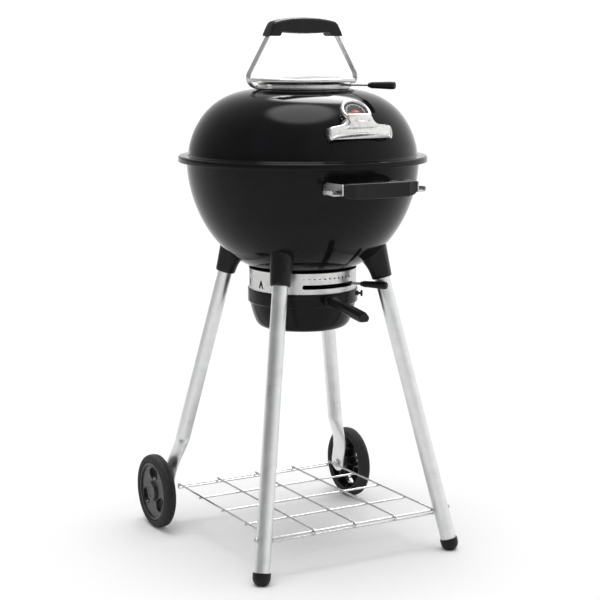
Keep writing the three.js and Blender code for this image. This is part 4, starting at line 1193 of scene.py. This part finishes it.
def ash_ring():
    """A rolled band with the lever's slot, two chevrons, and a scale of growing marks."""
    wall = 1.4
    reach = arc_length(180)
    top = RING_HIGH.z - 1.2
    outline = [(-reach, RING_LOW.z), (reach, RING_LOW.z), (reach, top), (-reach, top)]
    holes = [slot_outline(arc_length(SLOT_FROM), arc_length(SLOT_TO),
                          LEVER_HEIGHT - SLOT_HALF, LEVER_HEIGHT + SLOT_HALF)]
    for angle in CHEVRONS:
        x = arc_length(angle)
        holes.append([(x + dx, LEVER_HEIGHT + dz) for dx, dz in (
            (-7, -8), (-3, -8), (0, -1), (3, -8), (7, -8), (1.6, 8), (-1.6, 8))])
    for i in range(MARK_COUNT):
        x = arc_length(-28 + 56 * i / (MARK_COUNT - 1))
        size = 0.6 + 1.9 * i / (MARK_COUNT - 1)
        holes.append(slot_outline(x - 1.9, x + 1.9, MARK_HEIGHT - size, MARK_HEIGHT + size))
    band = rolled(plate(outline, holes, wall, pitch=5), ASH_RING_RADIUS - wall)
    hem = revolved([(ASH_RING_RADIUS - 1.2 + x, RING_LOW.z + 0.8 + y)
                    for x, y in circle(1.1, 12)])
    add("ash_ring_band", together(band, hem), SPUN, ["ash_ring"], crease=40)
    add("ash_ring_gasket", hoop(ASH_RING_RADIUS - 0.9, top + 0.3, 1.1), GASKET, beside="ash_ring")


def lever_rod(angle, height, start, end, radius):
    line = [around(start, angle, height), around((start + end) / 2, angle, height),
            around(end + 4, angle, height)]
    return tube(line, radius, sides=20, chamfer=0.4)


GRIP_PROFILE = ((0, 0, 0), (4.6, 0, 0.6), (4.9, 2.6, 0.4), (4.3, 3.2, 0.3), (4.4, 4.4, 0.3),
                (6.2, 5.2, 0.8), (6.6, 20, 8), (7.7, 50, 4), (7.2, 55.4, 2.2), (4.8, 56.9, 1.5),
                (0, 57, 0))


def lever_grip(angle, height, start):
    """A turned grip with a neck ring, swelling towards its rounded end."""
    grip = revolved(rounded(GRIP_PROFILE, steps=5), 48)
    return moved(grip, facing(around(start, angle, height), around(1, angle, 0), (0, 0, 1)))


def levers():
    rod = lever_rod(LOWER_LEVER_ANGLE, LEVER_HEIGHT, -8, 130, 2.6)
    add("sweep_lever_bar", rod, WIRE, ["sweep_lever_rod"])
    add("sweep_lever_handle", lever_grip(LOWER_LEVER_ANGLE, LEVER_HEIGHT, 130), NYLON,
        ["sweep_lever_grip"])
    rod = lever_rod(UPPER_LEVER_ANGLE, UPPER_LEVER_HEIGHT, 78, 146, 2.2)
    add("vent_lever_bar", rod, WIRE, ["vent_lever_rod"])
    add("vent_lever_handle", lever_grip(UPPER_LEVER_ANGLE, UPPER_LEVER_HEIGHT, 146), NYLON,
        ["vent_lever_grip"])


def ash_sweep():
    """Three thin blades pressed to the bowl's floor, on a hub and shaft."""
    skin = [(r, z + 3.4) for r, z in bowl_curve((16, 90)) if r < 92]

    def is_hole(radius, angle, height):
        return radius > 16 and not in_sectors(angle, (60, 180, 300), 27)

    blades = shell(skin, -1.8, 120, is_hole)
    floor = BOWL_FLOOR
    hub = revolved(rounded([
        (0, floor + 3.8, 0), (16, floor + 3.8, 1), (16, floor + 6, 1.5), (9, floor + 8, 2),
        (8, floor + 11, 1.5), (0, floor + 11.2, 0),
    ]), 60)
    shaft = revolved([(0, LEVER_HEIGHT + 2.9), (5, LEVER_HEIGHT + 2.9), (5, floor + 6),
                      (0, floor + 6)], 32)
    add("ash_sweep_blades", together(blades, hub, shaft), DRAWN, ["ash_sweep"], bevel=0.3)


# ------------------------------------------------------------------------- ash pan

PAN_HANDLE_ROOT = Vector((0, -COLLAR_RADIUS - 8, 513.4))
PAN_HANDLE_TIP = Vector((0, -233.5, 498.4))
PAN_STUB_END = Vector((0, -150, 509.5))
THUMBSCREW_ANGLE = 52
THUMBSCREW_HEIGHT = 516


def ash_pan():
    """A deep-drawn pan below a straight collar."""
    low, high = PAN_LOW.z, PAN_HIGH.z
    outside = rounded([
        (0, low, 0), (79, low, 20), (93, low + 6, 16), (101.5, low + 27, 14), (106.8, low + 48, 4),
        (108.2, low + 53, 1.5), (COLLAR_RADIUS, low + 54.5, 1.8), (COLLAR_RADIUS, high - 1.8, 1),
        (COLLAR_RADIUS - 0.5, high, 0),
    ], steps=7, closed=False)
    profile = outside
    rim = hoop(COLLAR_RADIUS - 1.4, high - 1.4, 1.3)
    add("ash_pan_enamel", together(shell(profile, -1.5), rim), ENAMEL, ["ash_pan"])


def pan_handle():
    """A curved plate and stub on the collar, and a faceted grip moulded over them."""
    outline = rounded([
        (-14, 503, 3), (14, 503, 3), (14, 523, 3), (-14, 523, 3),
    ])
    mount = rolled(plate(outline, thickness=3.2, pitch=3), COLLAR_RADIUS + 0.3)
    stub = tube([(0, -COLLAR_RADIUS - 3, 514), (0, -130, 512), PAN_STUB_END], 4, chamfer=0.5)
    screws = []
    for x in (-9.5, 9.5):
        head = revolved([(0, 0), (2.6, 0), (2.3, 1.0), (1.2, 1.5), (0, 1.6)], 20)
        angle = math.degrees(x / COLLAR_RADIUS)
        seat = around(COLLAR_RADIUS + 3.3, angle, 513)
        screws.append(moved(head, facing(seat, around(1, angle, 0), (0, 0, 1))))
    add("pan_handle_mount", together(mount, stub, *screws), NYLON, ["pan_handle_bracket"],
        bevel=0.4)
    rings = []
    for share, half, low, high, lean in ((0, 8, -7, 7, 0), (0.01, 9, -8, 8, 0),
                                         (0.25, 10, -8.6, 8.6, 0), (0.5, 11, -9, 9, 0),
                                         (0.75, 11.4, -9, 9, 0), (0.955, 11.5, -9, 8.8, 3),
                                         (1, 10.4, -7.6, 6.6, 5.5)):
        place = PAN_HANDLE_ROOT.lerp(PAN_HANDLE_TIP, share)
        corners = ((-half + 4, low), (half - 4, low), (half, low + 4.5), (half, high - 5),
                   (half - 4, high), (-half + 4, high), (-half, high - 5), (-half, low + 4.5))
        rings.append([Vector((x, place.y - z * 0.15 - lean + z * lean * 0.05, place.z + z))
                      for x, z in corners])
    add("pan_handle_moulding", loft(rings), NYLON, ["pan_handle_grip"], crease=20, bevel=0.9)


def thumbscrew():
    def at(radius):
        return around(radius, THUMBSCREW_ANGLE, THUMBSCREW_HEIGHT)

    shank = tube([at(COLLAR_RADIUS + 0.3), at(COLLAR_RADIUS + 4), at(COLLAR_RADIUS + 8)], 2.5)
    foot = revolved([(0, 0), (5, 0), (5, 1.6), (4.2, 2.3), (0, 2.4)], 32)
    outward = around(1, THUMBSCREW_ANGLE, 0)
    moved(foot, facing(at(COLLAR_RADIUS + 0.3), outward, (0, 0, 1)))
    wing = []
    for z, half, deep in ((-6.4, 1.0, 1.0), (-5.9, 1.9, 1.7), (-4.5, 2.5, 2.3), (-2, 2.3, 2.0),
                          (0, 2.7, 2.4), (2, 2.3, 2.0), (4.5, 2.5, 2.3), (5.9, 1.9, 1.7),
                          (6.4, 1.0, 1.0)):
        wing.append([Vector((x, -COLLAR_RADIUS - 8.7 + y, z)) for x, y in (
            (half * math.cos(t), deep * math.sin(t)) for t in (math.pi * k / 10 for k in range(20)))])
    wings = shifted(turned(loft(wing), THUMBSCREW_ANGLE), z=THUMBSCREW_HEIGHT)
    add("pan_thumbscrew_moulding", together(shank, foot, wings), NYLON, ["pan_thumbscrew"])


# ------------------------------------------------------------------------ lid vent

VENT_RADIUS = 90
VENT_BASE = 927.4
VENT_TOP = 936


def lid_vent():
    """A ring with the lever's slot, a domed cap with a rolled lip, its post, and the damper."""
    wall = [(VENT_RADIUS + 4, VENT_BASE), (VENT_RADIUS + 3.6, VENT_BASE + 0.9),
            (VENT_RADIUS + 1.4, VENT_BASE + 1.1), (VENT_RADIUS + 0.4, VENT_BASE + 1.6),
            (VENT_RADIUS, VENT_BASE + 2.8), (VENT_RADIUS, 931), (VENT_RADIUS, VENT_TOP - 1),
            (VENT_RADIUS - 0.4, VENT_TOP)]

    def is_hole(radius, angle, height):
        return height > 931 and UPPER_LEVER_ANGLE - 4 < angle < UPPER_LEVER_ANGLE + 49

    add("vent_ring_band", shell(wall, -1.3, 240, is_hole), SPUN, ["vent_ring"])
    gasket = hoop(VENT_RADIUS + 1.5, VENT_BASE - 0.9, 1.2)
    add("vent_ring_gasket", gasket, GASKET, beside="vent_ring")
    top, low = CAP_HIGH.z, CAP_LOW.z
    dome = rounded([
        (0, top, 0), (40, top - 0.4, 20), (78, top - 1.6, 14), (97, top - 3.6, 5),
        (CAP_RADIUS - 1.6, top - 5.4, 2.6), (CAP_RADIUS - 0.1, top - 7.6, 2), (CAP_RADIUS, low + 1.6, 1.5),
        (CAP_RADIUS - 2.2, low, 1), (CAP_RADIUS - 4.5, low + 0.8, 0),
    ], steps=6, closed=False)
    add("vent_cap_dome", shell(dome, 1.1, 240), SPUN, ["vent_cap"])
    stud_low, stud_high = span("vent_stud")
    post = revolved(rounded([
        (0, stud_low.z, 0), (9, stud_low.z, 0.3), (9, stud_low.z + 1.1, 0.5), (4, 930.4, 0.5),
        (4, 941, 0.5), (9, 941.6, 0.5), (9, stud_high.z - 0.4, 0.5), (0, stud_high.z - 0.3, 0),
    ], steps=3), 40)
    add("vent_post", post, DRAWN, ["vent_stud"])
    damper_low, damper_high = span("vent_damper")
    holes = []
    for middle in VENT_HOLES:
        turns = [math.radians(middle - 20 + 40 * i / 12) for i in range(13)]
        inner, outer = VENT_HOLE_RADII
        holes.append([(inner * math.sin(t), -inner * math.cos(t)) for t in turns]
                     + [(outer * math.sin(t), -outer * math.cos(t)) for t in reversed(turns)])
    disc = plate(circle(86, 120), [circle(4.4, 24), *holes], damper_high.z - damper_low.z)
    add("vent_damper_disc", shifted(disc, z=damper_low.z), SPUN, ["vent_damper"], bevel=0.3)


# ---------------------------------------------------------------------- lid handle

STRAP_SIDE = ((97, 927.9), (104, 928.6), (113, 932.5), (119.5, 939.5), (122, 948), (120.4, 957),
              (80.6, 1025.5), (74, 1038), (68, 1043.5), (60, 1046))
STRAP_HALF_WIDTH = 8


def lid_handle_strap():
    """A bent steel strap whose feet are bolted to the lid beside the vent."""
    line = smooth_line(STRAP_SIDE[:6], 8)[:-1] + smooth_line(STRAP_SIDE[5:], 8)
    path = [(x, 0, z) for x, z in line]
    path += [(-x, 0, z) for x, z in reversed(line)]
    strap = swept(path, rounded_box(STRAP_HALF_WIDTH, -1.45, 1.45, 0.7), (0.01, 0, 1))
    add("lid_handle_steel_strap", strap, DRAWN, ["lid_handle_strap"])
    for name, side in SIDES.items():
        add(f"strap_bolt_{name}", dome_head(4.6, 3.4), WIRE, beside="lid_handle_strap",
            pose=facing(Vector((106 * side, 0, 931)), (-0.32 * side, 0, 0.95), (0, 1, 0)))


GRIP_TOP_LINE = ((0, 1066), (30, 1064.9), (54, 1061.6), (68, 1058.4), (72, 1055.5), (75.5, 1049),
                 (80.6, 1037), (82.6, 1031))
GRIP_BOTTOM_LINE = ((0, 1033.6), (28, 1034.4), (46, 1036), (53, 1036.4), (55.5, 1034),
                    (57.5, 1030.2), (60, 1028.8), (80.6, 1028.8), (82.6, 1029.6))


def height_on(line, x):
    for (x0, z0), (x1, z1) in zip(line, line[1:]):
        if x <= x1:
            return z0 + (z1 - z0) * (x - x0) / (x1 - x0)
    return line[-1][1]


def lid_handle_grip():
    """An arched moulding with a lug at each end and finger ridges underneath."""
    half_depth = 17
    stations = [i * 0.9 for i in range(60)] + [53.6 + i * 0.6 for i in range(12)]
    stations += [61 + i * 1.6 for i in range(13)] + [81.4, 82.2, 82.6]
    stations = sorted(set(round(x, 2) for x in stations))
    rings = []
    for x in [-x for x in reversed(stations[1:])] + stations:
        reach = abs(x)
        low = height_on(GRIP_BOTTOM_LINE, reach)
        high = height_on(GRIP_TOP_LINE, reach)
        if reach < 45:
            low += 0.8 * (0.5 + 0.5 * math.cos(reach / 5.6 * 2 * math.pi))
        depth = half_depth - 1.6 * max(0, (reach - 76.5) / 6.1) ** 2
        soft = min(9, (high - low) * 0.4)
        outline = rounded([(-depth, low, min(4, soft)), (depth, low, min(4, soft)),
                           (depth, high - 1.5, soft), (0, high + 0.4, 14), (-depth, high - 1.5, soft)])
        rings.append([Vector((x, *point)) for point in outline])
    add("lid_handle_moulding", loft(rings), NYLON, ["lid_handle_grip"], crease=38)


# --------------------------------------------------------------------- thermometer

RIBBON_HALF = 69.5
RIBBON_HEIGHT = 22
RIBBON_DROOP = 7
RIBBON_FACE = 8
RIBBON_FRAME = (Matrix.Translation((0, -217, 844.5))
                @ Matrix.Rotation(math.radians(80), 4, "X"))
DIAL_FRAME = (Matrix.Translation(DIAL_CENTRE)
              @ Matrix.Rotation(math.radians(90 - DIAL_TILT), 4, "X"))
NEEDLE_COLD_ANGLE = 98
DIAL_FLOOR = -2.35
PRINT_TOP = -2.15
FIELD_RADIUS = 9.5
SCALE_DIVISIONS = 40
WINDOW_FLOOR = -7.4


def arch(x, height):
    return height - RIBBON_DROOP * (x / RIBBON_HALF) ** 2


def ribbon_outline():
    """An arch with round shoulders, a foot at each end, and a neck up to the dial."""
    low = [(x, arch(x, 0), 0) for x in range(-56, 57, 8)]
    right = [(61, -6.6, 2), (63, -9.0, 2), (67.2, -8.6, 2.5), (RIBBON_HALF, 1, 5), (67, 15.6, 8),
             (58, arch(58, RIBBON_HEIGHT), 6), (48, arch(48, RIBBON_HEIGHT), 0),
             (36, arch(36, RIBBON_HEIGHT), 9), (27, 31, 9), (25, 40, 0)]
    left = [(-x, y, soft) for x, y, soft in reversed(right)]
    return rounded([*low, *right, *left], steps=6)


def ribbon():
    """The plain ribbon below the dial, its edges rounded over, with a bead round its foot."""
    outline = ribbon_outline()
    levels = ((0, -RIBBON_FACE), (0, RIBBON_FACE - 2.2), (-0.3, RIBBON_FACE - 1.2),
              (-0.9, RIBBON_FACE - 0.4), (-1.9, RIBBON_FACE))
    body = loft([[(*point, height) for point in grown(outline, grow)] for grow, height in levels])
    line = rounded([
        (-64.4, 12, RIBBON_FACE, 0), (-66.3, 2, RIBBON_FACE, 5), (-64.2, -5.6, RIBBON_FACE, 2),
        *[(x, arch(x, 2.4), RIBBON_FACE, 0) for x in range(-56, 57, 8)],
        (64.2, -5.6, RIBBON_FACE, 2), (66.3, 2, RIBBON_FACE, 5), (64.4, 12, RIBBON_FACE, 0),
    ], closed=False)
    sizes = [min(1, 0.25 + 0.12 * i, 0.25 + 0.12 * (len(line) - 1 - i)) for i in range(len(line))]
    bead = swept(line, [[(x * 1.9 * size, y * 1.5 * size) for x, y in circle(1, 12)]
                        for size in sizes], (0, 0, 1))
    return together(shaped(moved(body, RIBBON_FRAME), lid_space()), moved(bead, RIBBON_FRAME))


def badge_housing():
    """The dial's housing: a broad round bezel over a body with slots cut into its wall."""
    body = revolved(rounded([
        (0, -19, 0), (BEZEL_RADIUS - 3, -19, 2), (BEZEL_RADIUS - 1.6, -6, 2), (BEZEL_RADIUS, -4, 1),
        (BEZEL_RADIUS, -0.4, 2.0), (BEZEL_RADIUS - 2.6, 2.5, 2.2), (DIAL_RADIUS + 2.4, 2.4, 1.2),
        (DIAL_RADIUS + 0.3, 0.4, 0.8), (DIAL_RADIUS + 0.3, -3.8, 0), (0, -3.8, 0),
    ], steps=5), 96)
    slots = []
    for angle in range(0, 360, 24):
        slot = block((-3.2, 3.2), (BEZEL_RADIUS - 3.6, BEZEL_RADIUS + 3), (-15, -7.5), 0.6)
        slots.append(turned(slot, angle))
    return moved(shaped(body, together(*slots)), DIAL_FRAME)


def badge_apron():
    """The part of the neck that climbs from the ribbon's face to the bezel, with two vents."""
    rings = []
    for y, z, half, thick in ((-228.0, 861, 33, 5), (-227.4, 865, 28.5, 6), (-226.2, 869, 26.5, 9),
                              (-224.0, 873, 26, 12), (-220.5, 878, 27, 14)):
        outline = rounded_box(half, -thick, 0.6, 0.5, 2.5)
        rings.append([Vector((x, y - tall * 0.9, z + tall * 0.42)) for x, tall in outline])
    body = loft(rings)
    vents = []
    for start, end in ((-17, -4.5), (4.5, 17)):
        vents.append(shifted(block((start, end), (-240, -222), (871.6, 873.2), 0.4)))
    return shaped(body, together(*vents))


def badge():
    """A cast ribbon and dial housing, trimmed to the lid."""
    parts = [shaped(part, lid_space()) for part in (badge_housing(), badge_apron())]
    add("badge_casting", together(*parts), BADGE, ["thermometer_badge"], bevel=0.3)
    add("badge_ribbon", ribbon(), BADGE, beside="thermometer_badge", crease=40)


def dial():
    """A black dial, its scale printed round it and a red field in its middle."""
    face = revolved([(0, -3.6), (DIAL_RADIUS, -3.6), (DIAL_RADIUS, -2.3), (0, -2.3)], 72)
    add("dial_plate", moved(face, DIAL_FRAME), DIAL, ["thermometer_dial"])
    ticks = []
    for i in range(SCALE_DIVISIONS + 1):
        is_long = i % 5 == 0
        half = 0.5 if is_long else 0.22
        tick = block((-half, half), (DIAL_RADIUS - (7.4 if is_long else 5.6), DIAL_RADIUS - 4.0),
                     (DIAL_FLOOR, PRINT_TOP))
        ticks.append(turned(tick, NEEDLE_COLD_ANGLE * (1 - 2 * i / SCALE_DIVISIONS)))
    arc = [math.radians(NEEDLE_COLD_ANGLE * (1 - i / 30)) for i in range(61)]
    inner, outer = DIAL_RADIUS - 4.2, DIAL_RADIUS - 3.6
    rings = [[Vector((-r * math.sin(t), r * math.cos(t), z)) for r, z in (
        (inner, DIAL_FLOOR), (outer, DIAL_FLOOR), (outer, PRINT_TOP), (inner, PRINT_TOP))]
        for t in arc]
    marks = together(*ticks, loft(rings))
    add("dial_scale", moved(marks, DIAL_FRAME), PRINT, beside="thermometer_dial")
    field = [(-FIELD_RADIUS, -6.4), (FIELD_RADIUS, -6.4)]
    field += [(FIELD_RADIUS * math.cos(t), -3 + FIELD_RADIUS * math.sin(t))
              for t in (math.pi * i / 24 for i in range(25))]
    red = shifted(plate(field, thickness=0.14), z=-2.34)
    add("dial_field", moved(red, DIAL_FRAME), RED, beside="thermometer_dial")


def bezel_window():
    """A plate over the lower dial, with a bar on it: the window's straight lower edge."""
    outline = []
    start = math.asin(WINDOW_FLOOR / DIAL_RADIUS)
    for i in range(33):
        turn = start - (math.pi + 2 * start) * i / 32
        outline.append((DIAL_RADIUS * math.cos(turn), DIAL_RADIUS * math.sin(turn)))
    cover = shifted(plate(list(reversed(outline)), thickness=2.0), z=-1.0)
    bar = shifted(block((-14, 14), (WINDOW_FLOOR - 5.6, WINDOW_FLOOR - 2.4), (0.9, 2.1), 1.2))
    add("badge_window_sill", moved(together(cover, bar), DIAL_FRAME), BADGE,
        beside="thermometer_badge", bevel=0.3)


def needle():
    outline = [(-2, -5), (2, -5), (1.0, 2), (0.45, 16.8), (-0.45, 16.8), (-1.0, 2)]
    blade = shifted(plate(outline, thickness=0.6), z=-0.3)
    boss = revolved([(0, -0.6), (3, -0.6), (3, 0.4), (2.2, 0.8), (0, 0.8)], 32)
    whole = turned(together(blade, boss), NEEDLE_COLD_ANGLE)
    add("thermometer_pointer", moved(shifted(whole, z=-1.2), DIAL_FRAME), NEEDLE,
        ["thermometer_needle"])


def lens_and_probe():
    lens = revolved(rounded([
        (0, 0.2, 0), (DIAL_RADIUS, 0.2, 0.2), (DIAL_RADIUS, 0.9, 0.4), (12, 1.35, 6), (0, 1.5, 0),
    ], steps=4), 72)
    add("thermometer_glass", moved(lens, DIAL_FRAME), LENS, ["thermometer_lens"])
    probe = revolved(rounded([
        (0, -72, 0), (3, -71.5, 1.8), (3, -24, 0.3), (5, -23.5, 0.5), (5, -20, 0.5), (3, -19.4, 0.3),
        (3, -4.2, 0), (0, -4.2, 0),
    ], steps=4), 32)
    add("thermometer_stem", moved(probe, DIAL_FRAME), DRAWN, ["thermometer_probe"])


# -------------------------------------------------------------------------- grates

def grate(height, radius, count, pitch, wire):
    """A round rim, bars from front to back across it, and two cross bars beneath."""
    parts = [hoop(radius - wire, height, wire)]
    reach = radius - wire
    for i in range(count):
        x = (i - (count - 1) / 2) * pitch
        half = math.sqrt(reach ** 2 - x ** 2)
        parts.append(tube([(x, -half, height + 0.6), (x, 0, height + 0.6), (x, half, height + 0.6)],
                          wire * 0.8, chamfer=0.4))
    for y in (-radius / 2, radius / 2):
        half = math.sqrt(reach ** 2 - y ** 2)
        parts.append(tube([(-half, y, height - 0.9), (0, y, height - 0.9), (half, y, height - 0.9)],
                          wire * 0.8, chamfer=0.4))
    return together(*parts)


def grates():
    for name, low, high, count, pitch in (("cooking", COOKING_LOW, COOKING_HIGH, 21, 19),
                                          ("charcoal", CHARCOAL_LOW, CHARCOAL_HIGH, 13, 26)):
        height = (low.z + high.z) / 2
        bars = grate(height, (high.x - low.x) / 2, count, pitch, 2.6)
        add(f"{name}_grate_wires", bars, WIRE, [f"{name}_grate"])


# ------------------------------------------------------------------------- studio

CAMERA_PLACE = (-1.54325, -2.71333, 1.0228)
CAMERA_TURN = -29.46
CAMERA_DIP = 9.51
CAMERA_LENS = 93.4
SKY_TO_CAMERA = 1.18
SKY_TO_MATT = 0.7
SUN_STRENGTH = 1.5
SUN_SPREAD = 38
# (direction, brightness, cosine where it starts, cosine where it is full)
SOFT_LIGHTS = (((0.387, 0.513, 0.766), 15.0, 0.955, 0.99), ((-0.03, -0.02, 1.0), 6.0, 0.9, 0.965))


def floor():
    bm = bmesh.new()
    bmesh.ops.create_grid(bm, x_segments=8, y_segments=8, size=40)
    mesh = bpy.data.meshes.new("floor")
    bm.to_mesh(mesh)
    bm.free()
    ground = bpy.data.objects.new("floor", mesh)
    bpy.context.scene.collection.objects.link(ground)
    mesh.materials.append(surface("studio_floor", "floor", ((0.86, 0.86, 0.86), (0.88, 0.88, 0.88)),
                                  (0.85, 0.95), patch=0.8, grit=0.02, bump=0.02))


def studio_sky():
    """White to the camera; gloss mirrors a room dim on the left, with two soft lights."""
    world = bpy.data.worlds.new("studio")
    bpy.context.scene.world = world
    world.use_nodes = True
    tree = world.node_tree
    tree.nodes.clear()
    way = node(tree, "TexCoord").outputs["Generated"]
    parts = node(tree, "SeparateXYZ", {"Vector": way})
    room = ranged(tree, parts.outputs["X"], 0.28, 1.15, -0.8, 0.8)
    for direction, brightness, start, full in SOFT_LIGHTS:
        towards = Vector(direction).normalized()
        near = node(tree, "VectorMath", {0: way, 1: tuple(towards)}, operation="DOT_PRODUCT")
        glow = node(tree, "MapRange", {
            "Value": near.outputs["Value"], "From Min": start, "From Max": full,
            "To Min": 0.0, "To Max": brightness,
        }, interpolation_type="SMOOTHERSTEP").outputs["Result"]
        room = node(tree, "Math", {0: room, 1: glow}, operation="ADD").outputs[0]
    ray = node(tree, "LightPath")
    matt = node(tree, "Mix", {"Factor": ray.outputs["Is Camera Ray"], "A": SKY_TO_MATT,
                              "B": SKY_TO_CAMERA}).outputs[0]
    strength = node(tree, "Mix", {"Factor": ray.outputs["Is Glossy Ray"], "A": matt, "B": room})
    sky = node(tree, "Background", {"Color": (1, 1, 1, 1), "Strength": strength.outputs[0]})
    node(tree, "OutputWorld", {"Surface": sky.outputs[0]})


def soft_sun():
    """A broad light from straight above, for soft shadows; gloss does not mirror it."""
    light = bpy.data.lights.new("soft_sun", "SUN")
    light.energy = SUN_STRENGTH
    light.angle = math.radians(SUN_SPREAD)
    lamp = bpy.data.objects.new("soft_sun", light)
    bpy.context.scene.collection.objects.link(lamp)
    lamp.visible_glossy = False


def studio():
    floor()
    studio_sky()
    soft_sun()
    camera_data = bpy.data.cameras.new("camera")
    camera_data.lens = CAMERA_LENS
    camera_data.sensor_width = 36
    camera = bpy.data.objects.new("camera", camera_data)
    bpy.context.scene.collection.objects.link(camera)
    camera.location = CAMERA_PLACE
    camera.rotation_euler = (math.radians(90 - CAMERA_DIP), 0, math.radians(CAMERA_TURN))
    bpy.context.scene.camera = camera
    bpy.context.scene.view_settings.view_transform = "Standard"


lid_shell()
bowl()
grate_supports()
bowl_handle_bracket()
bowl_handle_grip()
legs()
wheels()
wire_shelf()
shelf_bolts()
ash_ring()
levers()
ash_sweep()
ash_pan()
pan_handle()
thumbscrew()
lid_vent()
lid_handle_strap()
lid_handle_grip()
badge()
dial()
bezel_window()
needle()
lens_and_probe()
grates()
studio()
